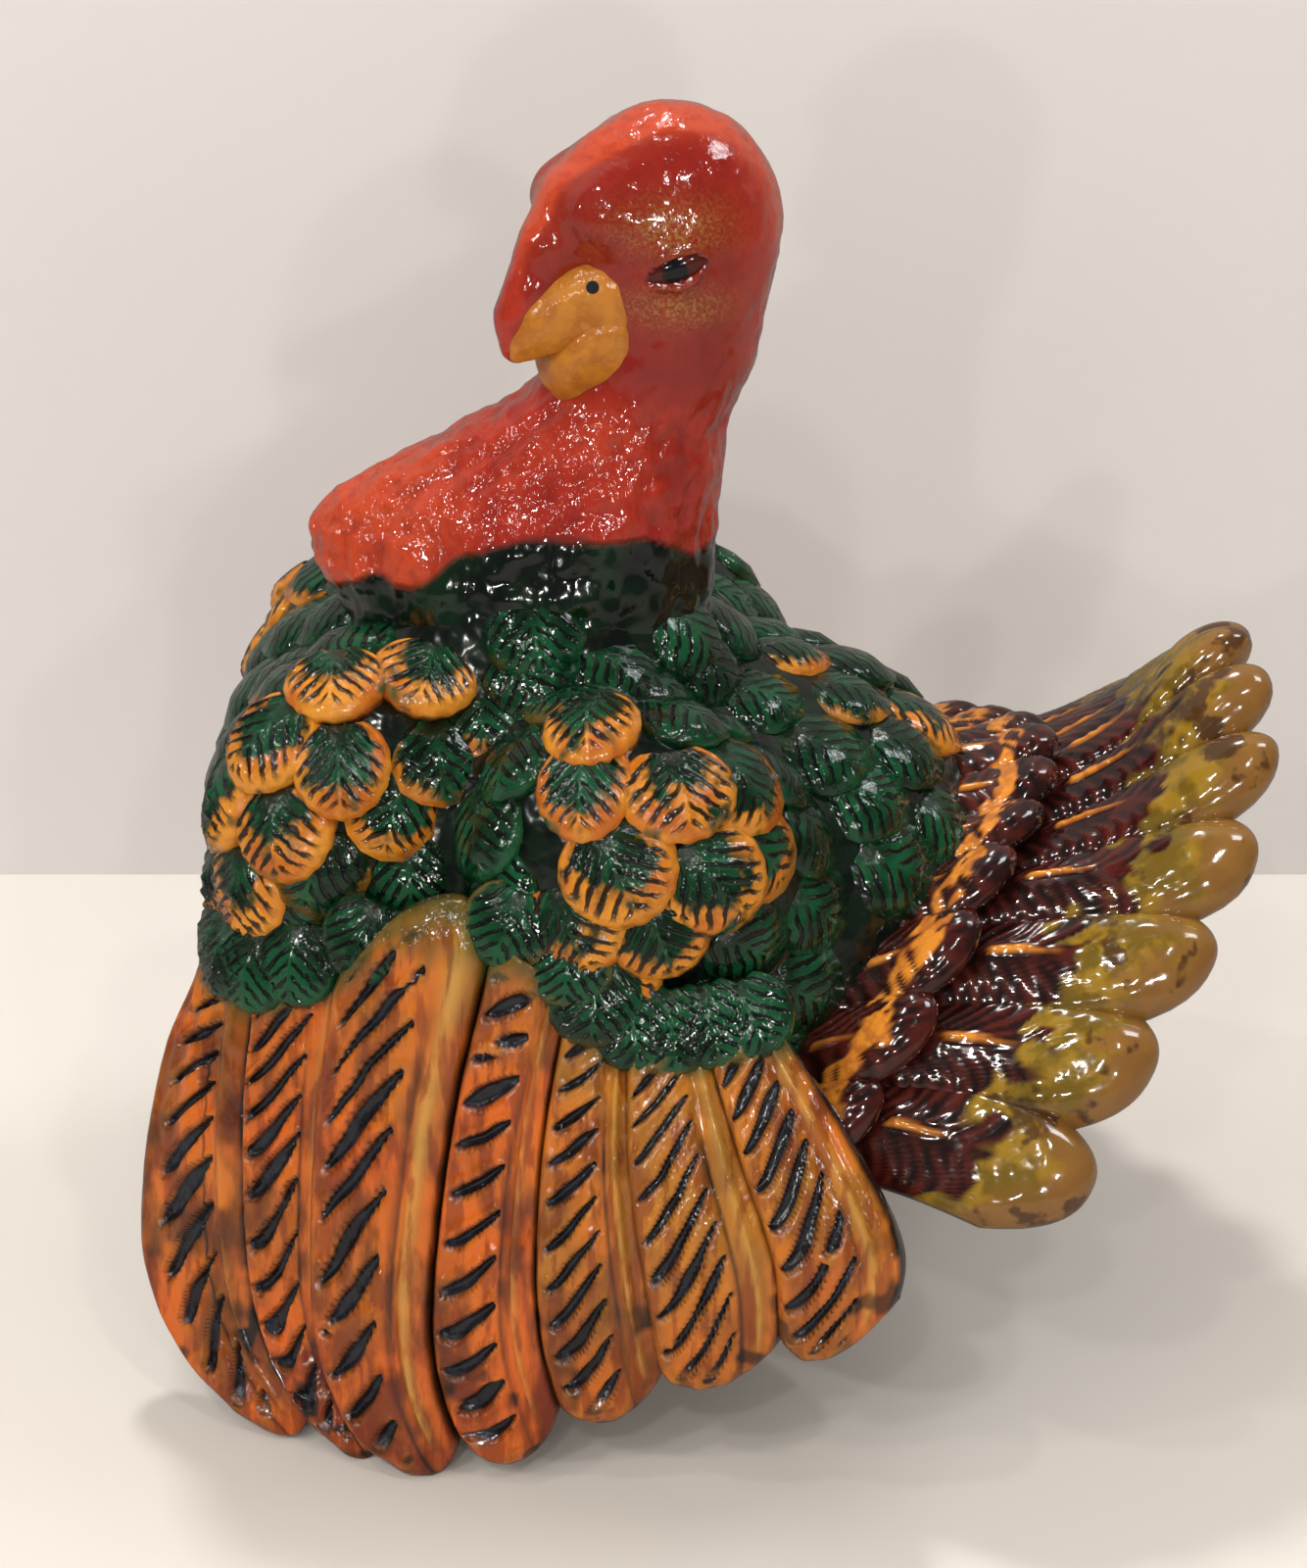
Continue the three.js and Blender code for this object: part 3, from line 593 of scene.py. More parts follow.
def beak_glaze(nostrils):
    """Ochre with a dark dot at each nostril, whose places are in millimetres."""
    glaze = Finish("beak_glaze", OCHRE, 0.20, 0.0)
    glaze.cover(glaze.patches(0.35, 0.65, 0.006, 4), DARK_OCHRE)
    glaze.cover(glaze.patches(0.55, 0.7, 0.003, 2) * 0.3, CREAM)
    hole = 0
    for spot in nostrils:
        away = glaze.node("ShaderNodeVectorMath", {"operation": "DISTANCE"},
                          {0: glaze.place(), 1: tuple((spot + FIGURE_SHIFT) / 1000)}, "Value")
        hole = glaze.step(NOSTRIL_RADIUS + NOSTRIL_EDGE, NOSTRIL_RADIUS, away) + hole
    glaze.cover(hole, BLACK)
    relief = glaze.noise(0.004) + glaze.noise(0.003, 2, (1, 1, 0.3)) * 0.4
    return glaze.finish(hole * 0.6 + 0.2, relief, 0.0005)


def eye_glaze():
    glaze = Finish("eye_glaze", EYE_BROWN, 0.10, 0.2)
    glaze.cover(glaze.mark("pupil"), BLACK)
    return glaze.finish(None, glaze.noise(0.004, 2), 0.0001)


def wing_glaze():
    glaze = Finish("wing_glaze", RUST, 0.14)
    mottle = glaze.noise(0.011, 4, (1, 1, 0.40))
    glaze.cover(glaze.step(0.40, 0.58, mottle), ORANGE)
    glaze.cover(glaze.mark("amber") * 0.85, glaze.mix(mottle, OLD_AMBER, AMBER))
    streak = glaze.patches(0.47, 0.60, 0.0034, 3, (1, 1, 0.14))
    glaze.cover(streak * 0.6, RUST)
    glaze.cover(glaze.mark("quill") * (1 - streak * 0.7) * 0.8, CREAM)
    glaze.cover(glaze.mark("soot"), SOOT)
    glaze.cover(glaze.mark("moss"), MOSS)
    # Black in the carved slots, with patches of slate blue that are a painted reflection of bluish light
    slot = glaze.mix(glaze.patches(0.4, 0.6, 0.004, 2), BLACK, SLATE)
    glaze.cover(glaze.step(0.25, 0.75, glaze.mark("carve")), slot)
    return glaze.finish(None, glaze.noise(0.0045, 4, (1, 1, 0.5)), 0.0009)


def tail_glaze(name):
    glaze = Finish(name, DARK_MAROON)
    glaze.cover(glaze.patches(0.4, 0.65, 0.008), MAROON)
    glaze.cover(glaze.mark("ridge") * 0.55, LIGHT_MAROON)
    glaze.cover(glaze.mark("groove"), GROOVE_BROWN)
    tip = glaze.mix(glaze.patches(0.42, 0.6, 0.007), OLIVE, MUSTARD)
    glaze.cover(glaze.mark("olive"), glaze.mix(glaze.mark("ripe") * 0.85, tip, TAN))
    glaze.cover(glaze.mark("olive") * glaze.patches(0.56, 0.63, 0.0098) * 0.8, FLECK_BROWN)
    glaze.cover(glaze.mark("band"), glaze.mix(glaze.patches(0.4, 0.62, 0.003, 2), BAND_ORANGE, DARK_BAND))
    return glaze.finish(None, glaze.noise(0.007, 2), 0.0003)


BARB_LEAN = 0.95
BARB_COUNT = 3.1


def scale_glaze(name):
    """Leaves of engraved barbs: dark in the cuts, emerald or amber on the ridges, with painted shade at
    their roots.
    """
    glaze = Finish(name, GREEN, 0.13, 0.35)
    wide, long, run, amber = (glaze.mark(label) for label in ("wide", "long", "run", "amber"))
    aside = glaze.node("ShaderNodeMath", {"operation": "ABSOLUTE"}, {0: wide})
    angle = (long - aside * BARB_LEAN + glaze.noise(0.004, 2) * 0.30) * (BARB_COUNT * 2 * math.pi)
    ridge = glaze.node("ShaderNodeMath", {"operation": "COSINE"}, {0: angle}) * 0.5 + 0.5
    inside = glaze.step(0.16, 0.36, run) * (1 - glaze.step(0.80, 0.95, run)) * glaze.step(0.02, 0.10, aside)
    cut = inside * (1 - glaze.step(0.08, 0.42, ridge))
    mottle = glaze.patches(0.38, 0.66, 0.009)
    glaze.cover(mottle, EMERALD)
    dab = glaze.step(0.40, 0.60, run + glaze.noise(0.006) * 0.9 - 0.95 + amber * 0.5)
    dab = dab * glaze.step(0.05, 0.30, amber) * glaze.patches(0.30, 0.46, 0.0085, 2)
    glaze.cover(dab, glaze.mix(mottle, AMBER, BURNT_AMBER))
    glaze.cover(cut * 0.96, DARK_GREEN)
    # Painted shade at each leaf's root, where it lies under the leaves nearer the neck
    glaze.cover((1 - glaze.step(0.02, 0.34, run)) * 0.85, ROOT_SHADE)
    rough = glaze.between((1 - glaze.step(0.02, 0.30, run)) * 0.5, 0.09, 0.6)
    return glaze.finish(rough, (1 - cut) * 0.8 + glaze.noise(0.003) * 0.3, 0.0017)


def body_glaze():
    """Dark green, with olive low down behind, and bare clay inside."""
    glaze = Finish("body_glaze", DARK_GREEN, 0.16, 0.3)
    glaze.cover(glaze.patches(0.4, 0.62, 0.006), POOLED_GREEN)
    glaze.cover(glaze.patches(0.55, 0.75, 0.004, 4) * 0.15, DUST)
    low = glaze.step(0.075, 0.045, glaze.axis("Z")) * glaze.step(-0.03, 0.01, glaze.axis("Y"))
    glaze.cover(low, glaze.mix(glaze.noise(0.01), OLIVE, TAN))
    glaze.cover(glaze.mark("inner"), BISQUE)
    return glaze.finish(glaze.between(glaze.mark("inner"), 0.16, 0.8), glaze.noise(0.009, 2), 0.0012)


# Neck, head and snood: one continuous skin, as the clay is
EYE_SHARE = np.array([1, -0.27, -0.01])
EYE_LONG = unit(np.array([0.0, 1.0, 0.42]))
EYE_BALL = np.array([7.0, 3.5, 3.0])
EYE_DEPTH = 2.1
COLLAR_HEIGHT = 176


def eye_frame(side):
    """The middle of an eye on the skull, and the ways along, up and out of it."""
    way = unit(EYE_SHARE * np.array([side, 1, 1]) * HEAD)
    place = ray_ends(skull_distance, HEAD_CENTRE, way[None], 60.0)
    outward = unit(slope(skull_distance, place)[0])
    along = unit(EYE_LONG - outward * (EYE_LONG @ outward))
    return place[0], along, unit(np.cross(outward, along)) * side, outward


def almond(local, side):
    """How far out from the middle of an eye places lie, 1 at the lid's edge, and how near they are."""
    place, along, up, _ = eye_frame(side)
    offset = local - place
    long_way, high_way = offset @ along, offset @ up
    height = 2.5 * np.maximum(1 - (long_way / 6.7) ** 2, 0.02)
    ratio = np.sqrt((high_way / height) ** 2 + (long_way / 6.8) ** 4)
    return ratio, np.exp(-np.maximum(length_of(offset) - EYE_BALL[0], 0) ** 2 / 6)


def neck_and_head():
    def distance(points):
        return blended(neck_distance(points), head_distance(points), NECK_BLEND)

    points, faces = surface_net(distance, (-38, -72, 146), (38, 42, 274), step=1.0)
    points = settled(distance, points)
    outward = unit(slope(distance, points, 0.6))
    local = turned(points, -HEAD_TURN)
    height = points[:, 2]
    on_head = smooth(206, 222, height)
    # Lumpy caruncles on the neck, with wrinkles that run down it, and dimples on the head
    front, back, _, _ = neck_row(height)
    sweep = (points[:, 1] / BODY[1] - front) / (back - front)
    angle = np.arctan2(points[:, 0], (sweep - 0.5) * 40)
    wrinkle = np.abs(noise(np.stack([angle * 9, sweep * 12, height * 0.30], -1), 2.1, 5)) * 0.9
    lumps = rough_noise(points, 7.0, 11) * 0.75 + rough_noise(points * [1, 1, 0.6], 3.0, 17, 2) * 0.55
    dimples = rough_noise(points, 3.0, 29, 2)
    rise = (1 - on_head) * (lumps + wrinkle - 0.5)
    rise += on_head * (rough_noise(points, 8.0, 23) * 0.35 + dimples * 0.30)
    # Painted shade in the creases between the lumps and in the dimples of the head
    crease_shade = smooth(-0.05, -0.75, lumps + (wrinkle - 0.4) * 0.5) * (1 - on_head)
    crease_shade += smooth(-0.2, -0.8, dimples) * 0.5 * on_head
    # The fold below the ridge of the drape
    ridge = smooth(0.30, 0.10, sweep) * smooth(168, 176, height) * (1 - on_head)
    rise -= ridge * 1.4 * bell(sweep - 0.17 + noise(points, 9, 3) * 0.03, 0.035)
    # Lids and sockets, with painted shade in the sockets and a dark line round each lid, and gold specks
    # above and below them
    shade, speckle = np.zeros(len(points)), np.zeros(len(points))
    for side, _ in SIDES:
        ratio, near = almond(local, side)
        rise += near * (1.25 * bell(ratio - 1.35, 0.38) - 2.0 * smooth(1.0, 0.75, ratio))
        rise += near * 0.5 * bell(ratio - 2.3, 0.35)
        shade = np.maximum(shade, near * (smooth(1.12, 0.95, ratio) + 0.55 * bell(ratio - 1.85, 0.22)))
        spot = local - eye_frame(side)[0]
        around = bell(spot[:, 2] - 8, 5) * bell(spot[:, 1], 11)
        around += bell(spot[:, 2] + 8, 4) * bell(spot[:, 1] - 1, 10)
        speckle = np.maximum(speckle, around * (local[:, 0] * side > 4))
    points = points + outward * rise[:, None]
    along, height = points[:, 1], points[:, 2]
    arch = 11 * smooth(-46, -16, along) - 7 * smooth(4, 22, along) - 5 * smooth(-50, -64, along)
    collar = smooth(0.9, -0.9, height - COLLAR_HEIGHT - arch + noise(points, 8, 41) * 2.0)
    # Painted light on the front of the face and neck, and painted shade on the cheeks, which begin at a
    # slanted ridge
    ridge_line = 8 + local[:, 1] * 0.25
    lit_front_plane = smooth(6, -2, local[:, 0] - ridge_line) * smooth(238, 250, height)
    lit_front = np.clip(smooth(-20, -44, along) * (1 - on_head) * 0.8 + lit_front_plane * 0.8, 0, 1)
    beside = np.abs(local[:, 0]) - ridge_line + noise(points, 9, 77) * 1.2
    cheek_shade = smooth(270, 264, height + noise(points, 6, 78) * 2) * on_head * smooth(-0.5, 1.2, beside)
    cheek_shade = cheek_shade * smooth(26, 10, local[:, 1]) * (0.62 + 0.14 * smooth(244, 226, height))
    cheek_shade = np.maximum(cheek_shade, crease_shade * 0.55)
    marks = {"collar": collar, "shade": np.clip(shade + cheek_shade, 0, 1), "speckle": np.clip(speckle, 0, 1),
             "lit_front": lit_front, "pebble": 1 - 0.25 * smooth(-30, -10, along) - 0.35 * on_head}
    made = make_object("neck_head_and_snood", points, faces, marks)
    dress(made, neck_glaze(), "head_glaze", "neck_drape", "head", "snood")


# Beak halves and eyes
BEAK_ROWS, BEAK_SIDES = 60, 56
BEAK_SQUARENESS = 3.4
UPPER_BEAK = [((0, -0.30, -0.30), (1.42, 1.15)), ((0, -0.62, -0.34), (1.28, 1.12)),
              ((0, -0.91, -0.44), (0.86, 0.90)), ((0, -1.12, -0.59), (0.56, 0.58)),
              ((0, -1.27, -0.77), (0.16, 0.18))]
LOWER_BEAK = [((0, -0.28, -0.52), (1.41, 1.15)), ((0, -0.57, -0.66), (1.25, 1.04)),
              ((0, -0.79, -0.87), (0.84, 0.70)), ((0, -0.87, -1.13), (0.30, 0.22))]
NOSTRIL = (0, -0.80, -0.17)
ACROSS = np.array([1.0, 0, 0])


def beak_skin(stations):
    """A tapered rod with squarish sides through stations, each a place and two shares of size."""
    places = np.array([[head_place(place)] for place, _ in stations])
    sizes = np.array([[[width * BEAK_HALF_WIDTH, depth * BEAK_HALF_DEPTH, 0]]
                      for _, (width, depth) in stations])
    share = 1 - (1 - np.linspace(0, 1, BEAK_ROWS)) ** 1.5
    tip = np.maximum(rounded((share - 0.86) / 0.14), 0.02)
    spread = (np.maximum(curve(sizes, share), 0.02) * tip[:, None])[:, None]
    ahead = unit(curve(places, np.minimum(share + 0.01, 1.0)) - curve(places, share - 0.01))
    angle = np.linspace(0, 2 * np.pi, BEAK_SIDES, endpoint=False)
    ring = np.stack([np.cos(angle), np.sin(angle)])
    wide, deep = np.sign(ring) * np.abs(ring) ** (2 / BEAK_SQUARENESS)
    points = (curve(places, share)[:, None] + ACROSS * spread[..., :1] * wide[:, None]
              + unit(np.cross(ahead, ACROSS))[:, None] * spread[..., 1:2] * deep[:, None])
    return points.reshape(-1, 3)


def beaks():
    """The halves of the beak, with a small pit at each nostril of the upper one."""
    glaze = None
    faces = ring_faces(BEAK_ROWS, BEAK_SIDES)
    for name, stations in (("upper_beak", UPPER_BEAK), ("lower_beak", LOWER_BEAK)):
        points = beak_skin(stations)
        outward = unit(points - points.mean(0))
        points = points + outward * rough_noise(points, 6, 7)[:, None] * 0.35
        if glaze is None:
            beside = length_of((points - head_place(NOSTRIL)) * (1 - ACROSS)) - np.abs(points[:, 0]) * 0.2
            nostrils = np.array([points[np.argmin(beside + 99 * (points[:, 0] * side < 0))]
                                 for side, _ in SIDES])
            for spot in nostrils:
                near = np.exp(-((points - spot) ** 2).sum(-1) / 1.5)
                points = points - outward * 0.3 * near[:, None]
            glaze = beak_glaze(turned(nostrils, HEAD_TURN))
        add_glazed(name, glaze, "beak_glaze", turned(points, HEAD_TURN), faces, {})


def eyes():
    glaze = eye_glaze()
    columns, rows = 48, 30
    turn, polar = (grid.ravel() for grid in np.meshgrid(
        np.linspace(0, 2 * np.pi, columns, endpoint=False), np.linspace(0.02, np.pi - 0.02, rows)))
    ball = EYE_BALL * np.stack([np.sin(polar) * np.cos(turn), np.sin(polar) * np.sin(turn),
                                np.cos(polar)], -1)
    marks = {"pupil": smooth(2.9, 2.3, np.hypot(ball[:, 0] + 0.6, ball[:, 1]))}
    faces = ring_faces(rows, columns)
    for side, label in SIDES:
        place, along, up, outward = eye_frame(side)
        points = place - outward * EYE_DEPTH + ball @ np.stack([along, up, outward])
        add_glazed(f"eye_{label}", glaze, "eye_glaze", turned(points, HEAD_TURN), faces, marks)


# Body shell, with its hollow and its open foot
def body():
    def distance(points):
        skin = body_distance(points)
        return np.maximum(np.maximum(skin, -skin - WALL), -points[..., 2])

    points, faces = surface_net(distance, (-82, -94, -3), (82, 92, 186), step=2.0)
    points = settled(distance, points, 3)
    points[:, 2] = np.maximum(points[:, 2], 0)
    outer = smooth(-3, -1, body_distance(points))
    relief = rough_noise(points, 9.0, 51, 1) * 0.7 * outer * smooth(1, 6, points[:, 2])
    points = points + unit(slope(body_distance, points)) * relief[:, None]
    add_glazed("body_shell", body_glaze(), "green_glaze", points, faces, {"inner": 1 - outer})


# Wing feathers, from a at the front to g at the back: a puffed vane with slanted slots, then a
# smooth quill. Each row of traits gives the pitch and slant of the slots, the middle of them
# across the feather and how far they reach from it, the height of the crest, the quill's place,
# width and paleness, how yellow and how stained it is, and how far it lies over the others.
WING_BORDERS = [0, 0.25, 0.375, 0.5, 0.625, 0.75, 0.875, 1]
WING_TRAITS = {
    "a": (9.6, 1.35, 0.50, 0.23, 4.8, 0.80, 0.035, 0.25, 0.30, 0.55, 0),
    "b": (8.4, 1.05, 0.37, 0.28, 4.6, 0.78, 0.040, 0.40, 0.05, 0.30, 0),
    "c": (11.0, 1.0, 0.37, 0.23, 6.0, 0.80, 0.070, 1.0, 0.25, 0.18, 1.8),
    "d": (9.6, 1.25, 0.37, 0.26, 5.4, 0.78, 0.040, 0.65, 0.12, 0.25, 0.4),
    "e": (8.6, 1.8, 0.37, 0.25, 4.8, 0.80, 0.045, 0.75, 0.75, 0.30, 0),
    "f": (8.6, 1.7, 0.37, 0.28, 5.2, 0.82, 0.050, 0.85, 0.80, 0.30, 0.4),
    "g": (8.4, 1.5, 0.37, 0.29, 5.2, 0.76, 0.055, 0.85, 0.70, 0.20, 0)}


def wing_heights(letter, seed):
    (pitch, slant, centre, slot_reach, crest, quill_line, quill_width, paleness,
     yellow, stained, lift) = WING_TRAITS[letter]

    def heights(u, v, top, across, along, base):
        sides = rounded(1 - u / 0.13) * rounded(1 - (1 - u) / 0.10)
        height = (lift + crest * (1 - 0.42 * smooth(0.50, 0.74, u))) * sides - 1.6 * (1 - sides)
        thin = quill_width * (1.15 - 0.75 * v)
        quill = bell(u - quill_line, thin) * smooth(0.0, 0.05, v) * smooth(0.97, 0.84, v)
        height += 1.5 * quill * (0.4 + 0.6 * paleness)
        # Slots that wander a little, each with its own width, and some of them broken
        wander = noise(base, 14, seed) * 0.12 + noise(base, 5, seed + 1) * 0.06
        lens = rounded(np.abs(u - centre) / slot_reach)
        phase = (along + slant * across) / pitch + wander + 0.31 * seed
        part = np.abs(phase - np.floor(phase) - 0.5)
        # Each slot's chance, from the far digits of a sine
        chance = np.sin((np.floor(phase) + 1.7 * seed) * 12.9898) * 43758.5453
        chance = chance - np.floor(chance)
        broken = smooth(-0.62, -0.40, noise(base, 6.5, seed + 2) + 0.25)
        half = (0.30 + 0.12 * chance) * lens * (0.85 + 0.3 * noise(base, 9, seed + 3)) * broken
        slot = smooth(half, half * 0.45 - 0.02, part) * (lens > 0.02)
        slot = slot * smooth(0.03, 0.08, v) * smooth(0.95, 0.88, v)
        waves = np.cos(2 * np.pi * phase)
        streak = noise(np.stack([u * 16, v * 2.0, np.full_like(u, seed)], -1), 1.0, seed + 4) * 0.28
        height = height - 3.0 * slot - waves * 0.42 * smooth(0.0, 0.5, lens)
        height = height + streak + rough_noise(base, 9, seed + 6) * 0.5
        end = rounded((v - 0.90) / 0.10)
        if letter == "c":
            end = end * rounded(1 - v / 0.07)
        # Soot along the rims, in the hollows and round the slots, amber on the ridges
        vane_edge = bell(u - 0.675 + streak * 0.07, 0.016) * smooth(0.10, 0.3, v)
        low = smooth(0.25, 0.7, noise(base, 7, seed + 8) + noise(base, 2.5, seed + 12) * 0.5)
        soot = (smooth(0.075, 0.01, u) + smooth(0.915, 0.98, u) + 0.75 * vane_edge
                + 0.75 * low * smooth(0.55, 0.85, v))
        rim = smooth(0.0, 0.12, slot) * smooth(0.6, 0.15, slot)
        stain = stained * smooth(-0.15, 0.45, noise(base, 11, seed + 14) + noise(base, 4, seed + 15) * 0.5)
        soot = np.clip(np.maximum(soot, rim * 0.75) + stain, 0, 1)
        amber = (yellow + smooth(0.25, 0.0, v) * 0.45 + noise(base, 14, seed + 9) * 0.35
                 + smooth(-0.2, 0.4, -waves) * smooth(0.0, 0.4, lens) * 0.35 - smooth(0.55, 0.9, v) * 0.25)
        moss = smooth(0.10, 0.02, v + noise(base, 6, seed + 10) * 0.03) * 0.8
        return np.where(top, height, -WALL) * end, {
            "carve": slot * top, "quill": quill * paleness * top, "soot": np.where(top, soot, 1.0),
            "amber": np.clip(amber, 0, 1), "moss": moss}

    return heights


# How far each feather reaches over its neighbours in front and behind
WING_OVERLAPS = [(0, 0.01), (0.005, 0), (0.030, 0.006), (0, 0.008), (0, 0.006), (0.008, 0.008), (0.004, 0)]
GROUND_GAP = 0.15


def wings():
    glaze = wing_glaze()
    for index, letter in enumerate(WING_TRAITS):
        early, late = WING_OVERLAPS[index]
        borders = (WING_BORDERS[index] - early, WING_BORDERS[index + 1] + late)
        raised = letter == "c"
        points, faces, marks = tube(
            WING_RAILS, borders, (-0.10 if raised else -0.02, 1.0), 0.17 if letter == "g" else 0.11,
            (66 if letter == "a" else 44, 12, 190), wing_heights(letter, 100 + index * 7),
            0.10 if raised else 0.0)
        points[:, 2] = np.maximum(points[:, 2], GROUND_GAP)
        for side, label in SIDES:
            add_glazed(f"wing_feather_{letter}_{label}", glaze, "wing_glaze",
                       points * np.array([side, 1, 1]), faces, marks)


# The tail's fan: short coverts with a dabbed band, and long feathers with puffed tips
TAIL_COUNT = 13


def tail_heights(is_covert, seed):
    middle = 3.6 if is_covert else -4.6
    pitch = 4.6 if is_covert else 3.9
    stroke_from = 0.34 if is_covert else 0.37

    def heights(u, v, top, across, along, base):
        dome = (1 - np.abs(2 * u - 1) ** 2.4) ** (1 / 1.9)
        offset = np.abs(u - 0.5) * 2
        aside = np.abs(across - across.max() / 2)
        phase = (along - 1.3 * aside) / pitch + noise(base, 6, seed) * 0.5
        barbs = np.cos(2 * np.pi * phase)
        window = smooth(0.06, 0.20, offset) * smooth(0.98, 0.80, offset)
        ragged = noise(np.stack([phase, u * 6, np.full_like(u, seed)], -1), 1.0, seed + 2) * 0.05
        ragged = ragged + noise(base, 5, seed + 3) * 0.045
        if is_covert:
            puff, under = 3.4 + 1.2 * smooth(0.5, 0.9, v), 3.2
            strength = window * smooth(1.0, 0.90, v)
            band = smooth(0.60, 0.64, v + ragged) * smooth(0.83, 0.79, v + ragged)
            band = band * smooth(-0.45, -0.20, noise(base, 3.2, seed + 4) + barbs * 0.3 * window)
            olive = np.zeros_like(u)
        else:
            puff, under = 3.6 + 3.6 * smooth(0.55, 0.88, v), 3.6 + 2.4 * smooth(0.6, 0.9, v)
            strength = window * smooth(0.94, 0.74, v)
            band = np.zeros_like(u)
            olive = smooth(0.68, 0.72, v + ragged * 2.2)
        # A stroke of orange along the quill
        taper = smooth(stroke_from, stroke_from + 0.03, v) * smooth(0.66, stroke_from + 0.1, v)
        stroke = taper * smooth(0.95, 0.5, aside / (0.2 + taper))
        end = rounded((v - 0.84) / 0.16)
        over = (puff * dome + 0.15 * barbs * strength + 0.7 * stroke
                + rough_noise(base, 8, seed + 1, 2) * 0.4 * dome) * end
        groove = smooth(-0.2, -0.9, barbs) * strength * 0.85 * (1 - olive * 0.4)
        groove = np.maximum(groove, smooth(0.94, 1.0, offset) * 0.8)
        return middle + np.where(top, over, -under * dome * end), {
            "ridge": smooth(0.2, 0.9, barbs) * strength, "groove": np.where(top, groove, 0.6),
            "band": np.maximum(band, stroke) * top, "olive": olive,
            "ripe": smooth(0.80, 0.93, v + ragged) * olive}

    return heights


def tail():
    glazes = {kind: tail_glaze(kind + "_glaze") for kind in ("covert", "tail")}
    overlap = 0.08 / TAIL_COUNT
    for index in range(TAIL_COUNT):
        borders = (index / TAIL_COUNT - overlap, (index + 1) / TAIL_COUNT + overlap)
        long_tip = 0.18 if index in (0, TAIL_COUNT - 1) else 0.11
        for kind, label, span, tip, counts, seed in (
                ("covert", "tail_covert", (0.0, 0.5), 0.08, (30, 8, 84), 300),
                ("tail", "tail_feather", (0.2, 1.0), long_tip, (32, 10, 130), 500)):
            heights = tail_heights(kind == "covert", seed + index * 5)
            add_glazed(f"{label}_{index + 1:02d}", glazes[kind], kind + "_glaze",
                       *tube(TAIL_RAILS, borders, span, tip, counts, heights))


# Scales: leaves laid like shingles from the neck outward
BREAST_SCALES = np.array([
    [0.45, -0.42, 0.95], [0.45, -0.56, 0.91], [0.57, -0.54, 0.84], [0.47, -0.65, 0.84],
    [0.56, -0.63, 0.76], [0.43, -0.76, 0.77], [0.52, -0.73, 0.69], [0.38, -0.85, 0.67]]) * BODY
SHOULDER_SCALES = np.array([
    [0.80, -0.03, 0.98], [0.88, -0.05, 0.91], [0.90, 0.15, 0.91], [0.97, 0.02, 0.83],
    [0.96, 0.22, 0.82], [0.96, -0.07, 0.75], [0.99, 0.11, 0.75], [1.01, 0.02, 0.67]]) * BODY
BODY_CORE = np.array([0, -0.17, 0.52]) * BODY
# A leaf's shape in its unit frame, then in millimetres the leaves' sizes, how far up from
# their places their roots lie, and how far they keep away from other parts
LEAF_MIDDLE = 0.72
LEAF_HALF_LENGTH = 0.94
BODY_LEAF, HEM_LEAF, CLUSTER_LEAF = 11.4, 10.4, 11.8
BODY_ROOT, HEM_ROOT, CLUSTER_ROOT = 8.6, 14.0, 9.0
LEAF_SIZE_SPREAD = 0.14
LEAF_SPACING = 19.5
NECK_CLEARANCE, WING_CLEARANCE, TAIL_CLEARANCE = 0.5, 10.5, 8.0
CLUSTER_CLEARANCE, GROUND_CLEARANCE = 8.5, 9.0
# The rows' angles from the neck, in degrees
ROW_ANGLES = np.r_[25, np.arange(20, 150, 9.6)]


def on_body(ways):
    """The places where ways out of the core leave the body."""
    return ray_ends(body_distance, BODY_CORE, ways, 150.0)


def round_scale(columns, rows, carved=False):
    """A domed scale in a unit frame: X across, Y towards its round tip, Z out, its root at 0.

    Carved ones have ridges of barbs that leave a middle quill on both sides."""
    around, run = (grid.ravel() for grid in np.meshgrid(np.linspace(-1, 1, columns + 1),
                                                        np.linspace(0, 1, rows + 1)))
    turn = around * math.radians(150)
    reach = run * (1 + 0.010 * np.cos(turn * 17) * carved)
    x = reach * np.sin(turn)
    y = reach * (LEAF_MIDDLE + np.cos(turn) * (LEAF_HALF_LENGTH + 0.05 * carved * np.cos(turn)))
    z = 0.21 * (1 - x * x - ((y - LEAF_MIDDLE) / LEAF_HALF_LENGTH) ** 2) + 0.19 * y - 0.06
    z -= 0.10 * smooth(0.88, 1.0, run)
    if carved:
        window = smooth(0.20, 0.40, run) * smooth(0.96, 0.86, run)
        barbs = np.cos((y - BARB_LEAN * np.abs(x)) * BARB_COUNT * 2 * np.pi)
        z += barbs * 0.042 * window + 0.05 * bell(x, 0.07) * window
    points = np.stack([x, y, z], -1)
    grid = np.arange(len(points)).reshape(rows + 1, columns + 1)
    quads = np.stack([grid[:-1, :-1], grid[:-1, 1:], grid[1:, 1:], grid[1:, :-1]], -1).reshape(-1, 4)
    # A skirt that drops from the rim, and one face under it
    rim = np.concatenate([grid[:, 0], grid[-1, 1:], grid[-2::-1, -1]])
    under = len(points) + np.arange(len(rim))
    skirt = np.stack([rim[:-1], rim[1:], under[1:], under[:-1]], -1)
    points = np.concatenate([points, points[rim] * np.array([0.92, 0.94, 1]) - np.array([0, 0, 0.38])])
    marks = {"wide": points[:, 0], "long": points[:, 1], "run": np.concatenate([run, run[rim]])}
    return points, quads.tolist() + skirt.tolist() + [under.tolist()], marks


def flow_down(places, outward):
    """The way that a scale's tip points: away from the neck, down and back over the surface."""
    back = smooth(-10, 40, places[:, 1])[:, None]
    wish = np.array([0, 0.12, -1.0]) * (1 - back) + np.array([0, 0.75, -0.65]) * back
    wish = wish + (places - np.array([0, -18, 165])) * np.array([0.6, 0.6, 0]) / 60
    return unit(wish - outward * (wish * outward).sum(-1)[:, None])


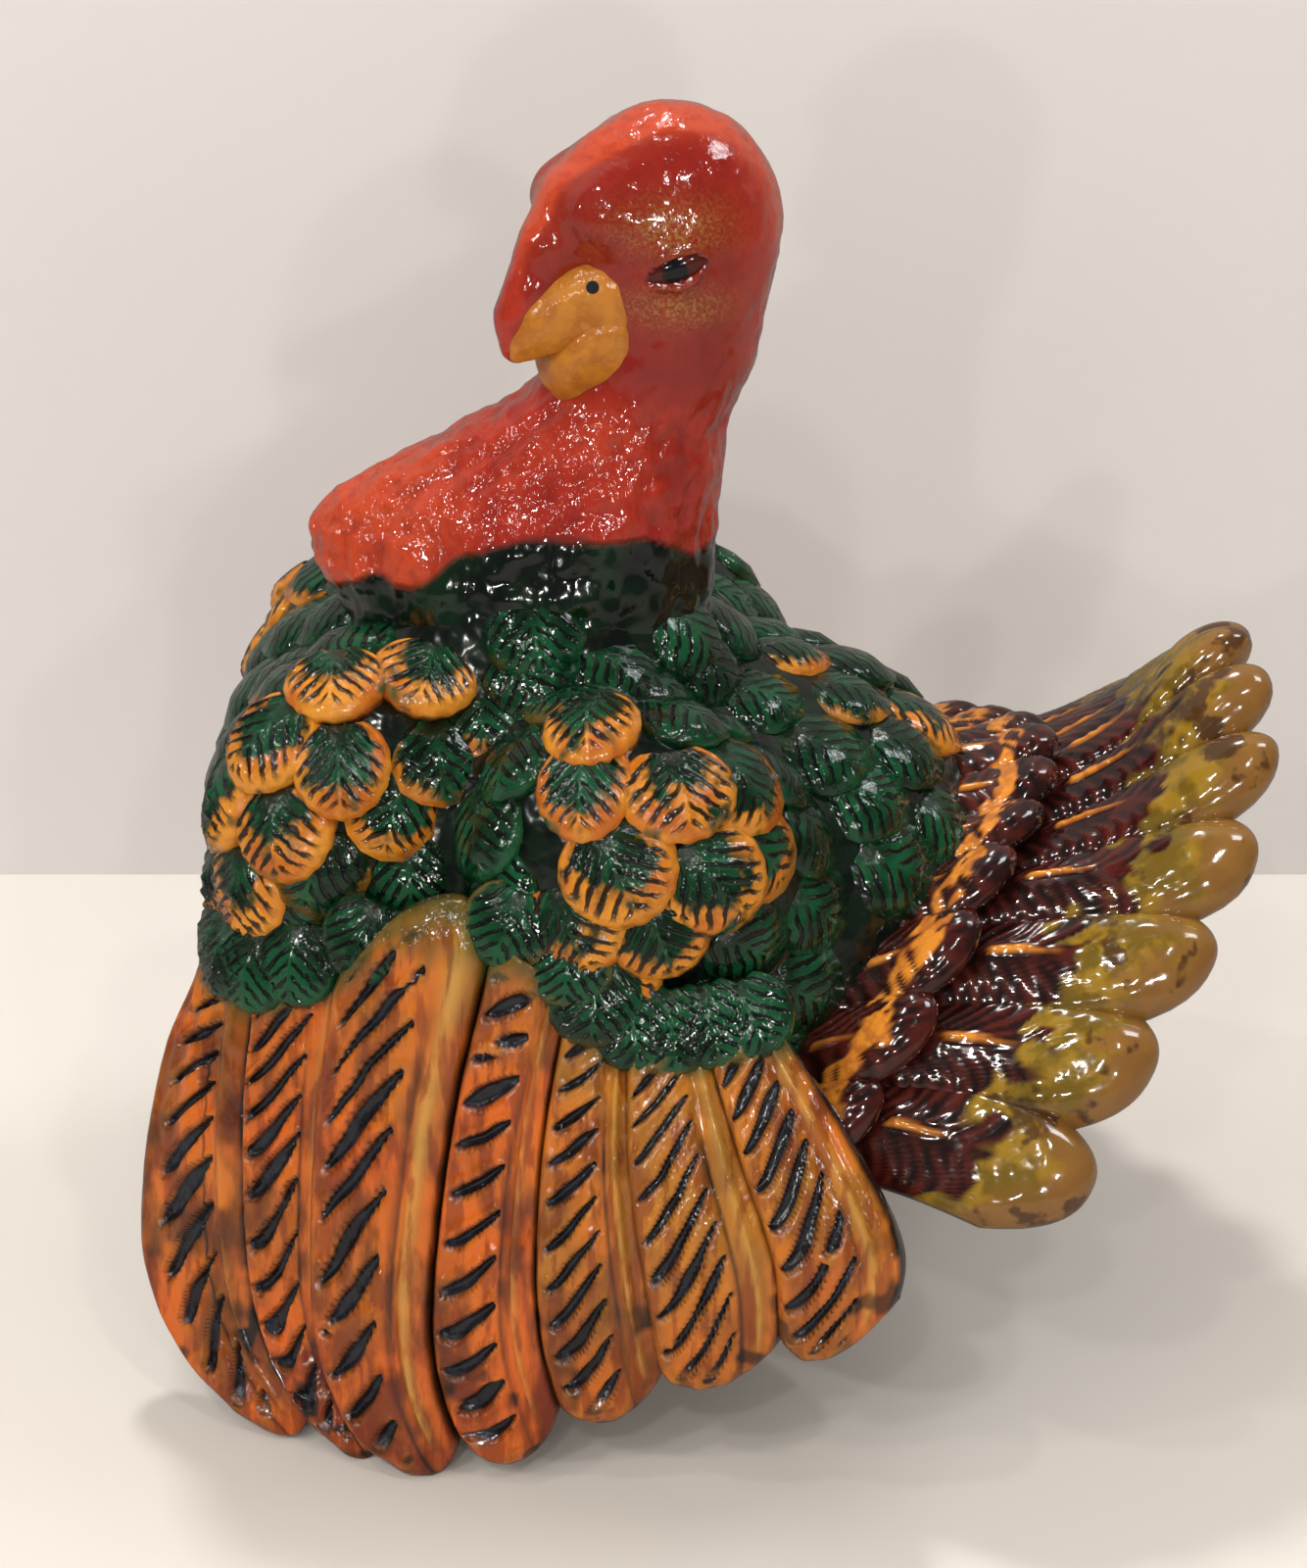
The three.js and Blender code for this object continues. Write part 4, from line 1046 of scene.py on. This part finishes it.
def twisted(down, outward, generator, turn=0.28):
    """The same ways, each turned a little to one side, as hand-laid scales are."""
    aside = np.cross(down, outward) * generator.uniform(-turn, turn, len(down))[:, None]
    return unit(down + aside)


def covering(rails, start, end):
    across, along = np.meshgrid(np.linspace(0, 1, 60), np.linspace(start, end, 30))
    return sheet(rails, across.ravel(), along.ravel())


def nearest(points, others):
    best = np.full(len(points), 1e9)
    for chunk in np.array_split(others, max(1, len(others) // 300)):
        best = np.minimum(best, length_of(points[:, None] - chunk[None]).min(1))
    return best


def around_core(polar, turn):
    """Ways out of the core, with the neck at the pole."""
    return np.stack([np.sin(polar) * np.sin(turn), -np.sin(polar) * np.cos(turn),
                     np.cos(polar) * np.ones_like(turn)], -1)


def scale_places():
    """Rows of places round the body, at least 8 to a row."""
    generator = np.random.default_rng(7)
    turn = np.linspace(0, 2 * np.pi, 721)
    rows = []
    for row, polar in enumerate(np.radians(ROW_ANGLES)):
        ring = on_body(around_core(polar, turn[:-1]))
        steps = np.r_[0, np.cumsum(length_of(np.roll(ring, -1, 0) - ring))]
        count = max(8, int(round(steps[-1] / LEAF_SPACING)))
        wanted = (np.arange(count) + 0.5 * (row % 2) + generator.uniform(-0.10, 0.10, count)) / count
        chosen = np.interp((wanted % 1) * steps[-1], steps, turn)
        rows.append(around_core(polar + generator.uniform(-0.016, 0.016, count), chosen))
    return on_body(np.concatenate(rows))


def scale_tree():
    """A node tree that sets a leaf on every point, turned and sized by the point's own values."""
    tree = bpy.data.node_groups.new("lay_scales", "GeometryNodeTree")
    tree.is_modifier = True
    for name, kind in (("Geometry", "Geometry"), ("Leaf", "Object"), ("Leaf Size", "Float"),
                       ("Size Spread", "Float"), ("Glaze", "Material")):
        tree.interface.new_socket(name, in_out="INPUT", socket_type="NodeSocket" + kind)
    tree.interface.new_socket("Geometry", in_out="OUTPUT", socket_type="NodeSocketGeometry")
    graph = Graph(tree)

    def given(name):
        return graph.node("NodeGroupInput", output=name)

    def own(name):
        return graph.node("GeometryNodeInputNamedAttribute", {"data_type": "FLOAT_VECTOR"},
                          {"Name": name}, "Attribute")

    leaf = graph.node("GeometryNodeObjectInfo", None, {"Object": given("Leaf")}, "Geometry")
    chance = graph.node("FunctionNodeRandomValue", {"data_type": "FLOAT"},
                        {2: 1 - given("Size Spread"), 3: 1.0, "Seed": 11}, 1)
    grown = graph.node("ShaderNodeVectorMath", {"operation": "SCALE"},
                       {0: own("stretch"), "Scale": given("Leaf Size") * chance})
    laid = graph.node("GeometryNodeInstanceOnPoints", None, {
        "Points": given("Geometry"), "Instance": leaf, "Rotation": own("turn"), "Scale": grown})
    real = graph.node("GeometryNodeRealizeInstances", None, {0: laid})
    dressed = graph.node("GeometryNodeSetMaterial", None, {"Geometry": real, "Material": given("Glaze")})
    graph.end(dressed, "NodeGroupOutput")
    return tree


def euler_of(across, along, outward):
    """Euler angles, X first, of frames given by three axes."""
    return np.stack([np.arctan2(along[:, 2], outward[:, 2]),
                     np.arcsin(np.clip(-across[:, 2], -1, 1)),
                     np.arctan2(across[:, 1], across[:, 0])], -1)


def lay_scales(name, tree, glaze, places, outward, down, stretch, amber, size, leaf, slot, *nodes):
    """One piece of leaves, laid by the node tree and kept as a plain mesh."""
    points, faces, marks = leaf
    model = make_object(name + "_leaf", points * 1000 - FIGURE_SHIFT, faces, marks)
    turn = euler_of(unit(np.cross(down, outward)), down, outward)
    mesh = bpy.data.meshes.new(name)
    mesh.from_pydata((places + FIGURE_SHIFT) / 1000, [], [])
    set_marks(mesh, {"turn": turn, "stretch": stretch, "amber": amber})
    seeds = linked(name + "_seeds", mesh)
    modifier = seeds.modifiers.new("lay", "NODES")
    modifier.node_group = tree
    values = {"Leaf": model, "Leaf Size": size / 1000, "Size Spread": LEAF_SIZE_SPREAD, "Glaze": glaze}
    for item in tree.interface.items_tree:
        if item.in_out == "INPUT" and item.name in values:
            modifier[item.identifier] = values[item.name]
    bpy.context.view_layer.update()
    graph = bpy.context.evaluated_depsgraph_get()
    laid = bpy.data.meshes.new_from_object(seeds.evaluated_get(graph))
    for spent in (seeds, model):
        bpy.data.objects.remove(spent, do_unlink=True)
    laid.polygons.foreach_set("use_smooth", np.ones(len(laid.polygons), bool))
    dress(linked(name, laid), glaze, slot, *nodes)


def body_scales(tree, glaze, generator):
    """Rows all over the body, left out under the neck, the wings, the tail and the clusters."""
    clusters = on_body(unit(np.concatenate([BREAST_SCALES, SHOULDER_SCALES]) - BODY_CORE))
    places = scale_places()
    on_left = np.concatenate([np.abs(places[:, :1]), places[:, 1:]], 1)
    keep = ((neck_distance(places) > NECK_CLEARANCE)
            & (nearest(on_left, covering(WING_RAILS, 0.05, 1.0)) > WING_CLEARANCE)
            & (nearest(places, covering(TAIL_RAILS, 0.10, 0.6)) > TAIL_CLEARANCE)
            & (nearest(on_left, clusters) > CLUSTER_CLEARANCE) & (places[:, 2] > GROUND_CLEARANCE))
    places = places[keep]
    outward = unit(slope(body_distance, places))
    down = twisted(flow_down(places, outward), outward, generator)
    # Amber beside the clusters and along the middle of the back
    crest = smooth(20, 60, places[:, 1]) * smooth(12, 4, np.abs(places[:, 0])) * 0.8
    crest = crest * smooth(116, 132, places[:, 2])
    beside = smooth(19, 12, nearest(on_left[keep], clusters))
    amber = np.clip(beside * generator.uniform(0, 0.8, len(places)) + crest, 0, 1)
    lay_scales("body_scales", tree, glaze, places - down * BODY_ROOT - outward * 0.2, outward, down,
               np.tile([1, 1.05, 1], (len(places), 1)), amber, BODY_LEAF, round_scale(12, 3), "green_glaze")


def scales():
    tree = scale_tree()
    green, amber_glaze = scale_glaze("green_scale_glaze"), scale_glaze("amber_scale_glaze")
    generator = np.random.default_rng(3)
    body_scales(tree, green, generator)
    # The hem that hangs over the roots of the wing feathers, with a gap for the raised one
    across = np.linspace(0.02, 0.98, 14)
    across = across + generator.uniform(-0.015, 0.015, len(across))
    across = across[np.abs(across - 0.45) > 0.045]
    count = len(across)
    lengthways, out = sheet_frame(WING_RAILS, across, np.full(count, 0.02))
    hem = sheet(WING_RAILS, across, np.zeros(count)) + out * 3.0 - lengthways * HEM_ROOT
    for side, label in SIDES:
        flip = np.array([side, 1, 1])
        lay_scales(f"hem_scales_{label}_glazed", tree, green, hem * flip, out * flip,
                   twisted(lengthways, out, generator) * flip, np.ones((count, 3)),
                   generator.uniform(0, 0.15, count), HEM_LEAF, round_scale(30, 12, True),
                   "green_glaze", f"hem_scales_{label}")
        for cluster, shares in (("breast_scales", BREAST_SCALES), ("shoulder_scales", SHOULDER_SCALES)):
            where = on_body(unit(shares - BODY_CORE))
            normal = unit(slope(body_distance, where))
            tip = twisted(flow_down(where, normal), normal, generator, 0.45)
            lift = np.linspace(2.2, 0.6, len(where))[:, None]
            lay_scales(f"{cluster}_{label}_glazed", tree, amber_glaze,
                       (where - tip * CLUSTER_ROOT + normal * lift) * flip, normal * flip, tip * flip,
                       np.array([1.0, 1.05, 1.2]) * generator.uniform(0.88, 1.06, (len(where), 3)),
                       generator.uniform(0.55, 1.0, len(where)), CLUSTER_LEAF, round_scale(60, 22, True),
                       "scale_glaze", f"{cluster}_{label}")


# Shelf, wall, lamps and camera
WALL_PLACE = -0.185
STAGE_REACH = 1.6
WALL_HEIGHT = 1.4
SHELF_COLOR = (0.64, 0.60, 0.555)
WALL_COLOR = (0.68, 0.66, 0.655)
MIRRORED_SHARE = 0.35
ROOM_GLOW, MIRRORED_GLOW = 0.36, 0.10


def plane(name, corners, color):
    """A matt sheet that looks darker in the glaze's reflections."""
    mesh = bpy.data.meshes.new(name)
    mesh.from_pydata(corners, [], [(0, 1, 2, 3)])
    made = linked(name, mesh)
    paint = Finish(name + "_paint", color, 0.75, 0.0)
    paint.cover(paint.node("ShaderNodeLightPath", output="Is Glossy Ray"),
                tuple(channel * MIRRORED_SHARE for channel in color))
    mesh.materials.append(paint.finish())
    return made, paint


def stage():
    near, far = -STAGE_REACH, STAGE_REACH
    floor = [(WALL_PLACE, near), (far, near), (far, far), (WALL_PLACE, far)]
    plane("shelf", [(*corner, 0) for corner in floor], SHELF_COLOR)
    upright = [(near, 0), (far, 0), (far, WALL_HEIGHT), (near, WALL_HEIGHT)]
    wall, paint = plane("wall", [(WALL_PLACE, *corner) for corner in upright], WALL_COLOR)
    wall.visible_shadow = False
    # From behind, the wall can be seen through
    behind = paint.node("ShaderNodeNewGeometry", output="Backfacing")
    clear = paint.node("ShaderNodeBsdfTransparent")
    shown = paint.node("ShaderNodeMixShader", None, {0: behind, 1: paint.shader, 2: clear})
    output = next(node for node in paint.tree.nodes if node.type == "OUTPUT_MATERIAL")
    paint.tree.links.new(shown.socket, output.inputs[0])


def lamp(name, place, size, power, color, mirrored=True, aim=(0, 0, 0.12)):
    """A lamp with a width and a height, turned towards the place that it aims at."""
    data = bpy.data.lights.new(name, "AREA")
    data.shape = "RECTANGLE"
    data.size, data.size_y = size
    data.energy = power
    data.color = color
    made = linked(name, data)
    made.location = place
    made.visible_glossy = mirrored
    way = np.array(place) - np.array(aim)
    made.rotation_euler = (math.atan2(math.hypot(way[0], way[1]), way[2]), 0,
                           math.atan2(way[1], way[0]) + math.pi / 2)


SPARK_PLACES = [(0.55, 0.30, 1.1), (0.95, -0.15, 0.95), (0.45, -0.9, 0.7), (0.75, -0.45, 1.0),
                (0.25, -0.55, 1.2), (1.1, 0.35, 0.6), (1.15, -0.45, 0.42), (1.2, 0.12, 0.36)]


def lights():
    """Two soft lamps that the glaze does not mirror, and small ones for its points of light."""
    lamp("window_lamp", (0.80, -0.75, 0.95), (0.75, 0.85), 4.25, (1, 0.985, 0.97), mirrored=False)
    lamp("fill_lamp", (1.1, 0.95, 0.55), (0.5, 0.5), 1.8, (1, 0.84, 0.66), mirrored=False)
    lamp("ceiling_lamp", (-0.42, -0.08, 1.20), (0.12, 0.12), 6.6, (1, 0.97, 0.95), aim=(0, 0, 0.1))
    lamp("door_lamp", (-0.14, 0.66, 1.05), (0.34, 0.34), 3.5, (0.93, 0.97, 1))
    for number, place in enumerate(SPARK_PLACES, 1):
        lamp(f"spark_lamp_{number}", place, (0.045, 0.045), 1.35, (1, 0.97, 0.92))
    world = bpy.data.worlds.new("room")
    world.use_nodes = True
    glow = world.node_tree.nodes["Background"]
    glow.inputs[0].default_value = (0.94, 0.89, 0.84, 1)
    graph = Graph(world.node_tree)
    reflected = graph.node("ShaderNodeLightPath", output="Is Glossy Ray")
    graph.tree.links.new(graph.between(reflected, ROOM_GLOW, MIRRORED_GLOW).socket, glow.inputs[1])
    bpy.context.scene.world = world


def camera():
    data = bpy.data.cameras.new("photo_camera")
    data.sensor_fit = "VERTICAL"
    data.sensor_height = 36
    data.lens = CAMERA_LENS
    made = linked("photo_camera", data)
    made.location = CAMERA_TARGET + CAMERA_DISTANCE * np.array(
        [math.cos(CAMERA_ELEVATION), 0, math.sin(CAMERA_ELEVATION)])
    made.rotation_euler = (math.pi / 2 - CAMERA_ELEVATION, 0, math.pi / 2)
    bpy.context.scene.camera = made
    bpy.context.scene.view_settings.view_transform = "Standard"


camera()
body()
neck_and_head()
beaks()
eyes()
wings()
tail()
scales()
stage()
lights()
